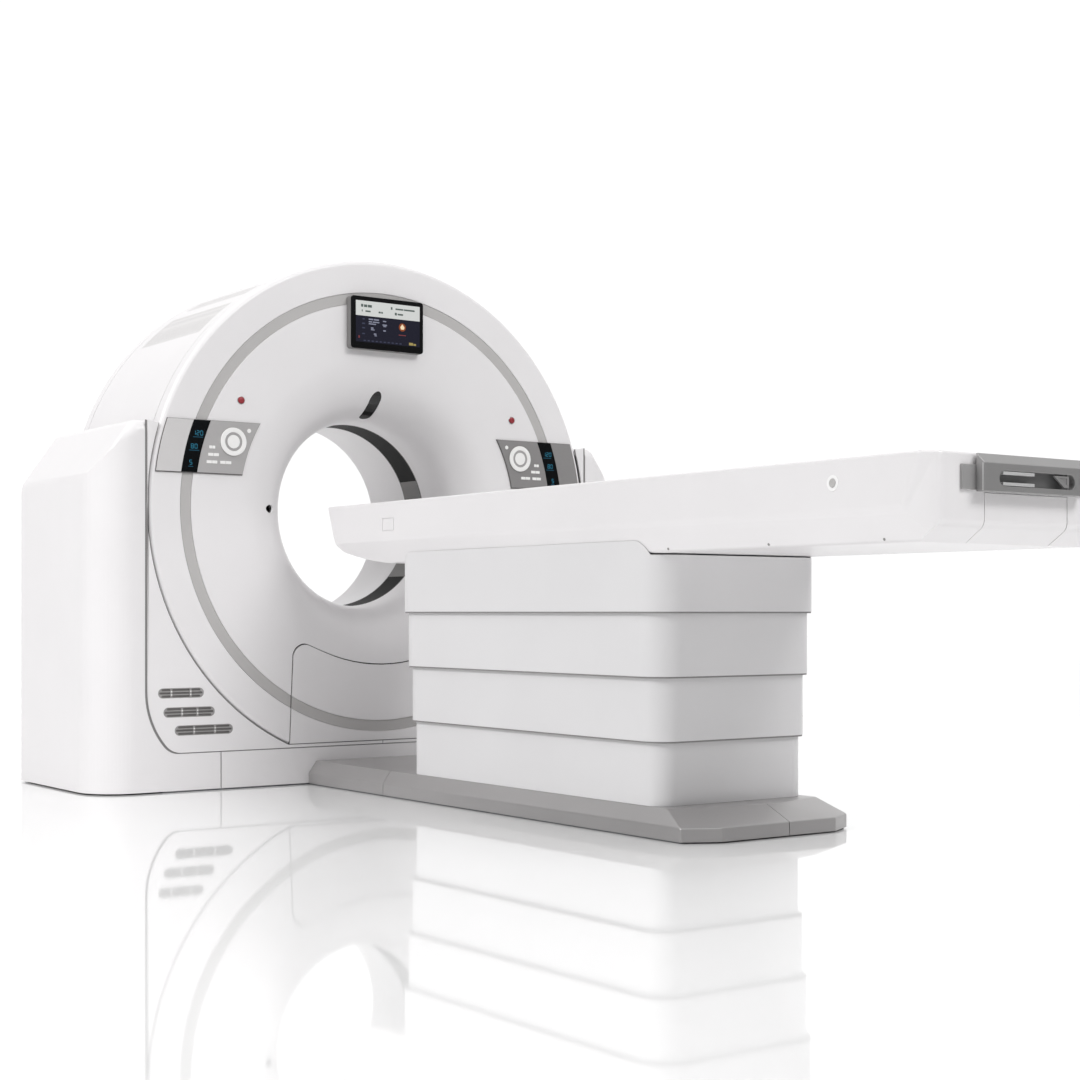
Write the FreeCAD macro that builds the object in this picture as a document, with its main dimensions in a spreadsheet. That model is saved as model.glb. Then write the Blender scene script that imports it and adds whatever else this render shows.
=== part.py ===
"""A computed-tomography scanner: a ring gantry on the floor and a patient table on a telescopic column.

Frame: +Z up, +Y from the foot of the table into the gantry, +X to the right of someone who faces the
gantry's front. The origin is on the floor, straight under the isocentre. All sizes are millimetres.
"""
import FreeCAD, Part
import math
import os
import re

import Sketcher

doc = FreeCAD.newDocument("ct_scanner")
sheet = doc.addObject("Spreadsheet::Sheet", "Sizes")

SIZES = [
    # general
    ("cover_wall", 8, "wall of the moulded covers"),
    ("seam", 3, "gap between neighbouring covers"),
    ("lip_thick", 2, "lip that closes a seam from behind"),
    ("fit", 0.3, "running clearance between moving pieces"),
    # gantry outline
    ("iso_height", 1000, "isocentre over the floor"),
    ("front_depth", 340, "front cover plane ahead of the isocentre"),
    ("rear_depth", 400, "rear cover plane behind the isocentre"),
    ("half_width", 1130, "isocentre to the outside of a side cover"),
    ("arch_radius", 937, "outside of the arch"),
    ("rim_band", 60, "depth of the front cover's rim"),
    ("rim_round", 18, "rounding of the arch's edges"),
    ("disc_flat", 150, "height of the round front cover's flat lower edge"),
    # side covers
    ("shoulder_height", 1065, "height where a side cover starts to lean in"),
    ("shoulder_round", 80, "bend at the top of the side wall"),
    ("shoulder_lean", 35.6, "lean of the shoulder from upright, in degrees"),
    ("peak_height", 1290, "top of a side cover"),
    ("peak_half", 965, "isocentre to the peak's inner bend"),
    ("peak_round", 48, "bend at the peak"),
    ("ledge_half", 894, "isocentre to the end of the ledge beside the arch"),
    ("side_round", 40, "rounding of a side cover's front and rear edges"),
    ("side_corner", 150, "rounding of a side cover's front corner"),
    # front insert
    ("insert_half", 948, "isocentre to the upright seam of the front insert"),
    ("plinth_height", 133, "height of the plinth covers"),
    ("plinth_half", 664, "isocentre to the seam in the plinth"),
    ("corner_large", 298, "upper bend of the insert's lower corner"),
    ("corner_small", 73.4, "lower bend of the insert's lower corner"),
    ("corner_turn", 40, "turn of the upper bend, in degrees"),
    # front dish and bore
    ("bore_radius", 350, "bore at the scan window"),
    ("lip_depth", 112, "front lip of the bore ahead of the isocentre"),
    ("ring_inner", 778, "accent ring, inner radius"),
    ("ring_outer", 817, "accent ring, outer radius"),
    ("ring_recess", 2, "accent ring below the cover's face"),
    ("ring_thick", 3, "accent ring's thickness"),
    ("window_half", 44, "half width of the scan window"),
    ("liner_wall", 5, "wall of the bore liners"),
    ("tunnel_radius", 378, "bore at the rear cover"),
    ("tunnel_flare", 30, "flare of the bore at the rear"),
    ("tunnel_proud", 5.3, "rear flare beyond the rear cover"),
    ("tunnel_lap", 3, "rear flare's lap over the rear cover"),
    # lower access cover
    ("access_foot", 389, "half width of the access cover at its foot"),
    ("access_side", 376, "half width where the side ends"),
    ("access_side_top", 455, "height where the side ends"),
    ("access_corner", 50, "bend of the upper corner"),
    ("access_peak", 330, "half width at the peak"),
    ("access_peak_top", 508, "height of the peak"),
    ("access_crest", 308.75, "half width where the peak's bend ends"),
    ("access_crest_top", 504, "height where the peak's bend ends"),
    ("access_slope_half", 245, "half width where the dip starts"),
    ("access_slope_top", 478, "height where the dip starts"),
    ("access_dip", 430, "height of the dip"),
    # front controls
    ("panel_top", 1300, "top of a control panel"),
    ("panel_bottom", 1116, "foot of a control panel"),
    ("panel_outer", 917, "outer edge of a control panel, from the isocentre"),
    ("panel_inner", 594, "inner edge of a control panel, from the isocentre"),
    ("panel_proud", 7, "control panel proud of the cover"),
    ("stripe_outer", 824, "outer edge of the read-out stripe"),
    ("stripe_inner", 767, "inner edge of the read-out stripe"),
    ("stripe_deep", 2, "depth of the read-out's recess"),
    ("dial_across", 619, "dial from the isocentre, sideways"),
    ("dial_up", 230, "dial above the isocentre"),
    ("dial_radius", 50, "dial's ring key, outside"),
    ("dial_bore", 31, "dial's ring key, inside"),
    ("dial_button", 26, "radius of the key in the dial's centre"),
    ("dial_proud", 6, "dial's ring key proud of the panel"),
    ("ring_travel", 1.5, "travel of the dial's ring key"),
    ("dial_travel", 2, "travel of the key in the dial's centre"),
    ("key_height", 8, "height of a bar key"),
    ("key_proud", 1.2, "bar keys proud of the panel"),
    ("lamp_set", 62, "panel lamp from the dial, sideways"),
    ("lamp_rise", 42, "panel lamp above the dial"),
    ("lamp_radius", 6, "radius of the panel lamp"),
    ("stop_across", 585, "red button from the isocentre, sideways"),
    ("stop_up", 380, "red button above the isocentre"),
    ("stop_radius", 12, "red button"),
    ("stop_proud", 7, "red button proud of the cover"),
    ("stop_travel", 4, "travel of the red button"),
    ("laser_half", 24, "half width of the laser slot"),
    ("laser_front", 305, "front end of the laser slot ahead of the isocentre"),
    ("laser_rear", 185, "rear end of the laser slot ahead of the isocentre"),
    ("laser_side", 300, "side laser ports ahead of the isocentre"),
    ("laser_port", 15, "radius of a side laser port"),
    ("screen_half", 156.5, "half width of the screen"),
    ("screen_low", 1600, "foot of the screen"),
    ("screen_high", 1795, "top of the screen"),
    ("screen_proud", 33, "screen's face proud of the cover"),
    ("screen_round", 12, "rounding of the screen's corners"),
    ("glass_thick", 2.5, "thickness of the screen glass"),
    # vents
    ("vent_tall", 35, "height of a vent row"),
    ("vent_deep", 5, "thickness of a vent grille"),
    ("roof_vent_thick", 3, "thickness of a roof vent panel"),
    ("roof_vent_front", 230, "roof vents' front edge ahead of the isocentre"),
    ("roof_vent_rear", 335, "roof vents' rear edge behind the isocentre"),
    # gantry frame
    ("rail_half", 880, "half length of the floor rails"),
    ("rail_width", 90, "width of a floor rail"),
    ("rail_height", 110, "height of a floor rail"),
    ("rail_wall", 8, "wall of the floor rails"),
    ("rail_set", 60, "floor rails in from the edges of the deck"),
    ("deck_thick", 20, "thickness of the floor frame's deck"),
    ("anchor_near", 120, "gantry anchors from the isocentre, along the bore"),
    ("anchor_across", 800, "gantry anchors from the centreline"),
    ("anchor_radius", 9, "radius of an anchor hole"),
    ("stator_front", 104, "front of the stator ring behind the isocentre"),
    ("stator_thick", 44, "thickness of the stator ring"),
    ("stator_radius", 800, "outside of the stator ring"),
    ("leg_half", 560, "half width of the stator's foot"),
    ("leg_top", 420, "top of the stator's foot"),
    # rotor
    ("drum_inner", 395, "clear opening of the rotor"),
    ("drum_radius", 750, "outside of the rotor disc"),
    ("drum_front", 60, "front of the rotor disc behind the isocentre"),
    ("drum_thick", 32, "thickness of the rotor disc"),
    ("hub_radius", 425, "outside of the rotor hub"),
    ("hub_rear", 290, "rear end of the rotor hub behind the isocentre"),
    ("race_split", 460, "radius between the bearing races"),
    ("race_outer", 505, "outside of the bearing"),
    ("race_thick", 38, "width of the bearing"),
    ("tube_up", 590, "X-ray tube above the isocentre"),
    ("tube_radius", 115, "radius of the X-ray tube housing"),
    ("tube_length", 250, "length of the X-ray tube housing"),
    ("fan_half", 27, "half of the detector's arc, in degrees"),
    ("detector_inner", 500, "face of the detector, from the isocentre"),
    ("detector_outer", 610, "back of the detector, from the isocentre"),
    ("detector_half", 52, "half width of the detector along the bore"),
    ("slip_radius", 445, "outside of the slip ring"),
    ("slip_front", 190, "front of the slip ring behind the isocentre"),
    # rotor drive
    ("motor_across", 760, "drive motor from the centreline"),
    ("motor_up", 300, "drive motor above the floor"),
    ("motor_radius", 85, "radius of the drive motor"),
    ("motor_length", 200, "length of the drive motor"),
    ("motor_foot", 60, "half width of the drive motor's pedestal"),
    ("motor_gap", 8, "gap between the drive pulley and the motor"),
    ("shaft_radius", 14, "radius of the drive motor's shaft"),
    ("pulley_radius", 62.5, "radius of the drive pulley"),
    ("belt_thick", 4, "thickness of the drive belt"),
    ("belt_width", 24, "width of the drive belt"),
    # table plinth
    ("base_half", 315, "half width of the table's plinth"),
    ("base_front", 2493, "front of the plinth ahead of the isocentre"),
    ("base_upright", 42, "height of the plinth's upright face"),
    ("base_height", 85, "top of the plinth"),
    ("base_side_slope", 31, "width of the plinth's side slopes"),
    ("base_end_slope", 95, "depth of the plinth's end slope"),
    ("base_corner", 100, "corner facet of the plinth at its foot, sideways"),
    ("base_corner_deep", 55, "corner facet of the plinth, lengthways"),
    ("base_top_corner", 190, "corner facet of the plinth at its top, sideways"),
    ("base_wall", 6, "wall of the plinth cover"),
    ("base_anchor_near", 700, "table anchors nearer to the gantry"),
    ("base_anchor_far", 2250, "table anchors at the far end"),
    ("base_anchor_across", 200, "table anchors from the centreline"),
    # telescopic column
    ("tier_half", 282, "half width of the lowest skirt"),
    ("tier_near", 990, "near end of the lowest skirt ahead of the isocentre"),
    ("tier_far", 2307, "far end of the lowest skirt ahead of the isocentre"),
    ("tier_step", 13, "step from one skirt to the next"),
    ("tier_corner", 61, "corner of the lowest skirt"),
    ("tier_wall", 3, "wall of a skirt"),
    ("tier_rise", 181, "height from one skirt's foot to the next"),
    ("tier_overlap", 12, "overlap of neighbouring skirts"),
    ("tier_lip", 9, "height of the lip inside a skirt's foot"),
    ("lift_travel", 440, "travel of the table's lift"),
    ("stage_half", 70, "half width of the outer lift stage"),
    ("stage_wall", 6, "wall of a lift stage"),
    ("stage_height", 270, "height of a lift stage"),
    ("stage_plate", 30, "thickness of the lift's base plate"),
    ("stage_near", 1250, "near lift column ahead of the isocentre"),
    ("stage_far", 2050, "far lift column ahead of the isocentre"),
    # table body
    ("table_half", 335, "half width of the table body"),
    ("table_top", 1000, "top of the table body"),
    ("table_under", 790, "underside of the table body"),
    ("table_waist", 867, "height where the sides start to slope in"),
    ("under_half", 305, "half width of the underside"),
    ("table_wall", 8, "wall of the table body"),
    ("nose_top", 522, "gantry end of the table at its top"),
    ("nose_low", 562, "gantry end of the table where the nose bends"),
    ("nose_bend", 893, "height where the nose bends"),
    ("nose_foot", 640, "gantry end where the bend meets the underside"),
    ("nose_foot_height", 832, "height where the bend meets the underside"),
    ("nose_round", 106, "bend under the nose"),
    ("nose_run", 1000, "gantry end where the underside turns level"),
    ("foot_end", 3348, "foot of the table ahead of the isocentre"),
    ("foot_rake", 3290, "foot end of the underside"),
    ("foot_bend", 830, "height where the foot's face slopes back"),
    ("foot_side", 3284, "foot end of the side wall"),
    ("end_half", 300, "half width of the foot's end face"),
    ("panel_half", 152, "half width of the foot's centre panel"),
    ("well_half", 240, "half width of the well under the cradle"),
    ("rail_cap", 12, "thickness of the covers beside the well"),
    # cradle
    ("cradle_half", 215, "half width of the cradle"),
    ("cradle_top", 996, "top of the cradle's edges"),
    ("cradle_sag", 46, "depth of the cradle's hollow"),
    ("cradle_thick", 20, "thickness of the cradle"),
    ("cradle_foot", 3250, "foot end of the cradle"),
    ("cradle_head", 545, "head end of the cradle"),
    ("cradle_tip", 120, "rounding of the cradle's ends"),
    ("guide_across", 165, "cradle guides from the centreline"),
    ("guide_half", 14, "half width of a cradle guide"),
    ("guide_top", 900, "top of the cradle guides"),
    ("guide_end", 700, "gantry end of the cradle guides"),
    ("rest_long", 80, "length of the rest under the cradle's head"),
    ("rest_half", 50, "half width of the rest under the cradle's head"),
    ("carriage_length", 640, "length of the carriage under the cradle's foot end"),
    ("beam_half", 25, "half width of the table's long beams"),
    ("beam_height", 60, "height of the table's long beams"),
    # handle
    ("handle_half", 190, "half width of the handle block"),
    ("handle_low", 908, "foot of the handle block"),
    ("handle_high", 975, "top of the handle block's face"),
    ("handle_proud", 34, "handle block beyond the end face"),
    ("bracket_thick", 8, "thickness of the bracket behind the handle"),
    ("bracket_set", 4, "bracket's edges in from the handle block's"),
    ("handle_back", 235, "half width of the bracket behind the handle"),
    ("grip_left", 135, "left end of the grip slot"),
    ("grip_low", 925, "foot of the grip slot"),
    ("grip_high", 955, "top of the grip slot"),
    ("grip_deep", 22, "depth of the grip slot"),
    ("lever_root", 118, "pivot end of the release lever from the centreline"),
    ("lever_tip", 56, "tip of the release lever from the centreline"),
    ("lever_thick", 6, "thickness of the release lever"),
    ("lever_back", 2, "release lever behind the handle's face"),
    ("pin_radius", 2, "radius of the lever's pivot pin"),
    ("pin_seat", 4, "pivot pin's depth in the handle above and below the slot"),
    ("side_button_at", 3035, "side button ahead of the isocentre"),
    ("side_button_up", 940, "side button above the floor"),
    ("side_button_radius", 13, "radius of the side button"),
    ("side_button_travel", 3, "travel of the side button"),
]

for row, (alias, value, meaning) in enumerate(SIZES, start=1):
    sheet.set(f"A{row}", meaning)
    sheet.set(f"B{row}", str(value))
    sheet.setAlias(f"B{row}", alias)
doc.recompute()

ALIASES = {alias for alias, _, _ in SIZES}
UPRIGHT = {"x": FreeCAD.Rotation(FreeCAD.Vector(0, 1, 0), 90),
           "y": FreeCAD.Rotation(FreeCAD.Vector(1, 0, 0), -90),
           "z": FreeCAD.Rotation()}
NODES = []


def bound(text):
    """An expression with each size's name led by the sheet's name."""
    return re.sub(r"[a-z]\w*", lambda word: "Sizes." + word[0] if word[0] in ALIASES else word[0], str(text))


def number(text):
    """The value of an expression, in millimetres or degrees."""
    return float(sheet.evalExpression(bound(text)))


def node(label, piece):
    """Mark an object as one of the scanner's pieces, under the name it is known by."""
    piece.Label = label
    NODES.append(piece)
    return piece


# ---- solids from primitives -------------------------------------------------------------------------

def box(low, high):
    """A box between two corners."""
    piece = doc.addObject("Part::Box", "Box")
    for axis, length, start, end in zip("xyz", ("Length", "Width", "Height"), low, high):
        piece.setExpression(length, bound(f"({end}) - ({start})"))
        piece.setExpression(f"Placement.Base.{axis}", bound(start))
    return piece


def rod(axis, start, radius, length):
    """A cylinder that starts at a point and runs along an axis."""
    piece = doc.addObject("Part::Cylinder", "Rod")
    piece.Placement = FreeCAD.Placement(FreeCAD.Vector(), UPRIGHT[axis])
    piece.setExpression("Radius", bound(radius))
    piece.setExpression("Height", bound(length))
    for name, place in zip("xyz", start):
        piece.setExpression(f"Placement.Base.{name}", bound(place))
    return piece


def cut(base, *tools):
    """A piece with others taken from it."""
    piece = doc.addObject("Part::Cut", "Cut")
    piece.Base = base
    piece.Tool = tools[0] if len(tools) == 1 else fuse(*tools)
    return piece


def fuse(*pieces):
    """Pieces joined, or kept side by side where they don't meet."""
    piece = doc.addObject("Part::MultiFuse", "Fusion")
    piece.Shapes = list(pieces)
    return piece


def common(first, second):
    """What two pieces share."""
    piece = doc.addObject("Part::MultiCommon", "Common")
    piece.Shapes = [first, second]
    return piece


def ring(axis, start, outer, inner, length):
    """A plain ring that runs along an axis."""
    return cut(rod(axis, start, outer, length), rod(axis, start, inner, length))


def mirrored(piece):
    """The same piece on the other side of the centreline."""
    other = doc.addObject("Part::Mirroring", "Mirror")
    other.Source = piece
    other.Normal = FreeCAD.Vector(1, 0, 0)
    return other


# ---- solids from sketches ---------------------------------------------------------------------------

def sketch(body, role, offset="0", lift="0"):
    """A sketch on one of the body's own planes, moved along the plane's normal and along its second axis."""
    plane = next(f for f in body.Origin.OriginFeatures if f.Role == role)
    drawing = body.newObject("Sketcher::SketchObject", "Sketch")
    drawing.AttachmentSupport = [(plane, "")]
    drawing.MapMode = "FlatFace"
    drawing.setExpression("AttachmentOffset.Base.z", bound(offset))
    drawing.setExpression("AttachmentOffset.Base.y", bound(lift))
    return drawing


def arc_between(start, end, radius):
    """A short arc between two points; its radius is negative where it turns clockwise."""
    half = (end - start) / 2
    rise = math.sqrt(max(radius * radius - half.Length ** 2, 0))
    side = FreeCAD.Vector(-half.y, half.x, 0).normalize()
    centre = start + half + side * math.copysign(rise, radius)
    first, last = (start, end) if radius > 0 else (end, start)
    angles = [math.atan2(p.y - centre.y, p.x - centre.x) for p in (first, last)]
    return Part.ArcOfCircle(Part.Circle(centre, FreeCAD.Vector(0, 0, 1), abs(radius)), *angles)


def outline(drawing, corners):
    """A closed outline. A corner is (x, y), or (x, y, radius) at the end of an arc, minus for clockwise."""
    places = [FreeCAD.Vector(number(c[0]), number(c[1]), 0) for c in corners]
    ends, starts = [], []
    for i, corner in enumerate(corners):
        start, end = places[i - 1], places[i]
        turn = number(corner[2]) if len(corner) == 3 else 0
        line = arc_between(start, end, turn) if turn else Part.LineSegment(start, end)
        edge = drawing.addGeometry(line, False)
        starts.append((edge, 2 if turn < 0 else 1))
        ends.append((edge, 1 if turn < 0 else 2))
        if turn:
            rule = drawing.addConstraint(Sketcher.Constraint("Radius", edge, abs(turn)))
            drawing.setExpression(f"Constraints[{rule}]", bound(f"abs({corner[2]})"))
    for i, corner in enumerate(corners):
        following = starts[(i + 1) % len(corners)]
        drawing.addConstraint(Sketcher.Constraint("Coincident", *ends[i], *following))
        for kind, place, text in (("DistanceX", places[i].x, corner[0]),
                                  ("DistanceY", places[i].y, corner[1])):
            rule = drawing.addConstraint(Sketcher.Constraint(kind, -1, 1, *ends[i], place))
            drawing.setExpression(f"Constraints[{rule}]", bound(text))


def circle(drawing, across, up, radius):
    """A circle, placed and sized."""
    centre = FreeCAD.Vector(number(across), number(up), 0)
    edge = drawing.addGeometry(Part.Circle(centre, FreeCAD.Vector(0, 0, 1), number(radius)), False)
    for kind, refs, text in (("DistanceX", (-1, 1, edge, 3), across), ("DistanceY", (-1, 1, edge, 3), up),
                             ("Radius", (edge,), radius)):
        rule = drawing.addConstraint(Sketcher.Constraint(kind, *refs, number(text)))
        drawing.setExpression(f"Constraints[{rule}]", bound(text))


def body(label):
    """An empty PartDesign body."""
    return doc.addObject("PartDesign::Body", label)


def pad(part, drawing, length, reverse=False, both=False):
    """Thicken a sketch along its normal, against it, or both ways."""
    feature = part.newObject("PartDesign::Pad", "Pad")
    feature.Profile = drawing
    feature.setExpression("Length", bound(length))
    feature.Reversed = reverse
    if both:
        feature.SideType = "Symmetric"
    doc.recompute()
    return feature


def pocket(part, drawing, length, reverse=False, both=False):
    """Take a sketch's prism out of a body, and make sure that it did."""
    before = part.Tip.Shape.Volume
    feature = part.newObject("PartDesign::Pocket", "Pocket")
    feature.Profile = drawing
    feature.setExpression("Length", bound(length))
    feature.Reversed = reverse
    if both:
        feature.SideType = "Symmetric"
    doc.recompute()
    if feature.Shape.Volume > before - 1e-6:
        raise RuntimeError(f"a pocket in {part.Label} cuts nothing")
    return feature


def slab(part, corners, front, back):
    """Pad an upright outline, seen from the front, from one depth to another."""
    drawing = sketch(part, "XZ_Plane", offset=f"-({front})")
    outline(drawing, corners)
    return pad(part, drawing, f"({back}) - ({front})", reverse=True)


def slot(part, corners, front, back):
    """Cut an upright outline, seen from the front, from one depth to another."""
    drawing = sketch(part, "XZ_Plane", offset=f"-({front})")
    outline(drawing, corners)
    return pocket(part, drawing, f"({back}) - ({front})")


def turned(part, corners):
    """Revolve an outline of (depth, radius) corners about the bore's axis."""
    drawing = sketch(part, "YZ_Plane", lift="iso_height")
    outline(drawing, corners)
    feature = part.newObject("PartDesign::Revolution", "Revolution")
    feature.Profile = drawing
    feature.ReferenceAxis = (drawing, ["H_Axis"])
    feature.Angle = 360
    doc.recompute()
    return feature


def rounded(part, radius, wanted):
    """Round the edges that a test picks."""
    base = part.Tip
    names = [f"Edge{i}" for i, edge in enumerate(base.Shape.Edges, start=1) if wanted(edge)]
    feature = part.newObject("PartDesign::Fillet", "Fillet")
    feature.Base = (base, names)
    feature.setExpression("Radius", bound(radius))
    doc.recompute()
    return feature


def lies_at(axis, place):
    """A test for edges that lie wholly in a plane across an axis."""
    def test(edge):
        box_of = edge.BoundBox
        low, high = getattr(box_of, axis + "Min"), getattr(box_of, axis + "Max")
        return abs(low - number(place)) < 0.01 and abs(high - number(place)) < 0.01
    return test


# ---- gantry: front covers ---------------------------------------------------------------------------

def access_corners(grow):
    """The wave-topped outline of the lower access cover, grown by a gap on every side."""
    def left(half, height, *turn):
        return (f"-({half} + {grow})", f"{height} + {grow}", *turn)
    drop = "(access_slope_top - access_dip)"
    bowl = f"(pow(access_slope_half + {grow}; 2) + pow({drop}; 2)) / (2 * {drop})"
    edge = [(f"-(access_foot + {grow})", "disc_flat"), left("access_side", "access_side_top"),
            left("access_peak", "access_peak_top", "-access_corner"),
            left("access_crest", "access_crest_top", "-access_corner"),
            left("access_slope_half", "access_slope_top"),
            ("0", f"access_dip + {grow}", bowl)]
    # the right half repeats the left one in reverse; an arc belongs to the corner that it ends at
    turns = [c[2] if len(c) == 3 else None for c in edge]
    for corner, turn in zip(edge[-2::-1], turns[:0:-1]):
        place = (corner[0][1:], corner[1])
        edge.append(place + (turn,) if turn else place)
    return edge


def insert_corners(inset, inner):
    """The left edge of the front insert: down the upright seam and round the lower corner."""
    side, foot = f"-(insert_half - {inset})", f"plinth_height + {inset}"
    bend = "(corner_large * (1 - cos(corner_turn)))"
    start = f"{foot} + corner_large * sin(corner_turn) + corner_small * (1 - sin(corner_turn))"
    return [(side, start), (f"{side} + {bend}", f"{start} - corner_large * sin(corner_turn)", "corner_large"),
            (f"{side} + {bend} + corner_small * cos(corner_turn)", foot, "corner_small"), (inner, foot)]


dish_round = "(front_depth - lip_depth)"
dish = body("front_dish")
ring_floor = "-front_depth + ring_recess + ring_thick"
ring_middle = "(ring_inner + ring_outer) / 2"
turned(dish, [
    (ring_floor, f"{ring_middle} - fit"), (ring_floor, "ring_inner - 1"), ("-front_depth", "ring_inner - 1"),
    ("-front_depth", f"bore_radius + {dish_round}"),
    ("-lip_depth", "bore_radius", dish_round),
    ("-lip_depth", "bore_radius + cover_wall"),
    ("-front_depth + cover_wall", f"bore_radius + {dish_round}", f"-({dish_round} - cover_wall)"),
    ("-front_depth + cover_wall", f"{ring_middle} - fit"),
])
slot(dish, access_corners("seam"), "-front_depth - 1", "-front_depth + 20")
# the slot of the upper laser and the ports of the two side lasers
drawing = sketch(dish, "XY_Plane", offset="iso_height")
outline(drawing, [("-laser_half", "-laser_front + laser_half"), ("0", "-laser_front", "laser_half"),
                  ("laser_half", "-laser_front + laser_half", "laser_half"),
                  ("laser_half", "-laser_rear - laser_half"), ("0", "-laser_rear", "laser_half"),
                  ("-laser_half", "-laser_rear - laser_half", "laser_half")])
pocket(dish, drawing, "ring_inner - 60", reverse=True)
drawing = sketch(dish, "YZ_Plane")
circle(drawing, "-laser_side", "iso_height", "laser_port")
pocket(dish, drawing, "2 * ring_inner", both=True)
# the wells of the two red buttons
drawing = sketch(dish, "XZ_Plane", offset="front_depth + 1")
for side in ("-stop_across", "stop_across"):
    circle(drawing, side, "iso_height + stop_up", "stop_radius + fit")
pocket(dish, drawing, "cover_wall + 2")
node("front_dish", dish)

rim = body("front_rim")
turned(rim, [
    ("-front_depth", "ring_outer + 1"), (ring_floor, "ring_outer + 1"), (ring_floor, f"{ring_middle} + fit"),
    ("-front_depth + cover_wall", f"{ring_middle} + fit"),
    ("-front_depth + cover_wall", "arch_radius - cover_wall"),
    ("-front_depth + rim_band", "arch_radius - cover_wall"), ("-front_depth + rim_band", "arch_radius"),
    ("-front_depth", "arch_radius"),
])
rounded(rim, "rim_round", lambda edge: lies_at("Y", "-front_depth")(edge)
        and edge.BoundBox.XLength > 2 * number("arch_radius") - 1)
slot(rim, [("-half_width", "0"), ("half_width", "0"),
           ("half_width", "disc_flat"), ("-half_width", "disc_flat")],
     "-front_depth - 1", "0")
slot(rim, access_corners("seam"), "-front_depth - 1", "0")
node("front_rim", rim)

access = body("access_plate")
slab(access, access_corners("0"), "-front_depth", "-front_depth + cover_wall")
slab(access, access_corners("seam - fit"), "-front_depth + cover_wall - lip_thick",
     "-front_depth + cover_wall")
groove = ring("y", ("0", "-front_depth - 1", "iso_height"), "ring_outer + 1", "ring_inner - 1",
              "1 + ring_recess + ring_thick")
node("access_cover", cut(access, groove))

# the accent ring is broken where the access cover's seam crosses it
whole_ring = ring("y", ("0", "-front_depth + ring_recess", "iso_height"), "ring_outer", "ring_inner",
                  "ring_thick")
access_hole = body("access_hole")
slab(access_hole, access_corners("seam"), "-front_depth - 1", "-front_depth + cover_wall")
access_key = body("access_key")
slab(access_key, access_corners("0"), "-front_depth - 1", "-front_depth + cover_wall")
node("accent_ring", fuse(cut(whole_ring, access_hole), common(whole_ring, access_key)))

# the corner covers fill the insert beside the disc and carry three vent rows each
def stadium(low, high, middle, half):
    """A level slot with round ends, as quarter turns."""
    return [(f"{high} - {half}", f"{middle} - {half}"), (high, middle, half),
            (f"{high} - {half}", f"{middle} + {half}", half), (f"{low} + {half}", f"{middle} + {half}"),
            (low, middle, half), (f"{low} + {half}", f"{middle} - {half}", half)]


VENT_ROWS = [(900, 728, 345), (880, 686, 278), (838, 616, 214)]
corner = body("corner_cover_left")


def corner_outline(gap):
    """A corner cover's outline, a gap inside its neighbours."""
    disc = f"(arch_radius + {gap})"
    low, high = f"(disc_flat - {gap})", "(peak_height - 8)"
    return insert_corners(gap, f"-{gap} / 2") + [
        (f"-{gap} / 2", low), (f"-sqrt(pow({disc}; 2) - pow(iso_height - {low}; 2))", low),
        (f"-sqrt(pow({disc}; 2) - pow({high} - iso_height; 2))", high, f"-{disc}"),
        (f"-(insert_half - {gap})", "peak_height"),
    ]


slab(corner, corner_outline("seam"), "-front_depth", "-front_depth + cover_wall")
slab(corner, corner_outline("fit"), "-front_depth + cover_wall - lip_thick", "-front_depth + cover_wall")
for far, near, up in VENT_ROWS:
    slot(corner, stadium(f"-{far}", f"-{near}", f"{up}", "(vent_tall / 2)"),
         "-front_depth - 1", "-front_depth + cover_wall + 1")
node("corner_cover_left", corner)
node("corner_cover_right", mirrored(corner))

grilles = []
for far, near, up in VENT_ROWS:
    grille = body("grille")
    slab(grille, stadium(f"(-{far} + fit)", f"(-{near} - fit)", f"{up}", "(vent_tall / 2 - fit)"),
         "-front_depth + 1", "-front_depth + 1 + vent_deep")
    grilles += [grille, mirrored(grille)]

# ---- gantry: side, top and rear covers ---------------------------------------------------------------


def shoulder_block(label, inset, sink, rounding):
    """The bulk of a side cover, or of the hollow in it: upright, leaning in and bending over at the top."""
    block = body(label)
    wide, tall = f"(half_width - {inset})", f"(peak_height - {inset})"
    low_bend, high_bend = f"(shoulder_round - {inset})", f"(peak_round - {inset})"
    slab(block, [
        (f"-{wide}", f"-{sink}"), (f"-{wide}", "shoulder_height"),
        (f"-half_width + shoulder_round - {low_bend} * cos(shoulder_lean)",
         f"shoulder_height + {low_bend} * sin(shoulder_lean)", f"-{low_bend}"),
        (f"-peak_half - {high_bend} * cos(shoulder_lean)",
         f"peak_height - peak_round + {high_bend} * sin(shoulder_lean)"),
        ("-peak_half", tall, f"-{high_bend}"),
        (f"-ledge_half + {sink}", tall), (f"-ledge_half + {sink}", f"-{sink}"),
    ], f"-front_depth + {inset}", f"rear_depth - {inset}")
    front, rear = lies_at("Y", f"-front_depth + {inset}"), lies_at("Y", f"rear_depth - {inset}")
    inner, foot = lies_at("X", f"-ledge_half + {sink}"), lies_at("Z", f"-{sink}")
    rounded(block, rounding, lambda edge: (front(edge) or rear(edge)) and not inner(edge) and not foot(edge))
    middle = ("-half_width + side_corner", "-front_depth + side_corner")
    corner = box((f"-{wide} - 1", f"-front_depth + {inset} - 1", f"-{sink} - 1"), (*middle, "peak_height + 1"))
    return cut(block, cut(corner, rod("z", (*middle, f"-{sink} - 2"), f"side_corner - {inset}", "peak_height + 4")))


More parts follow.
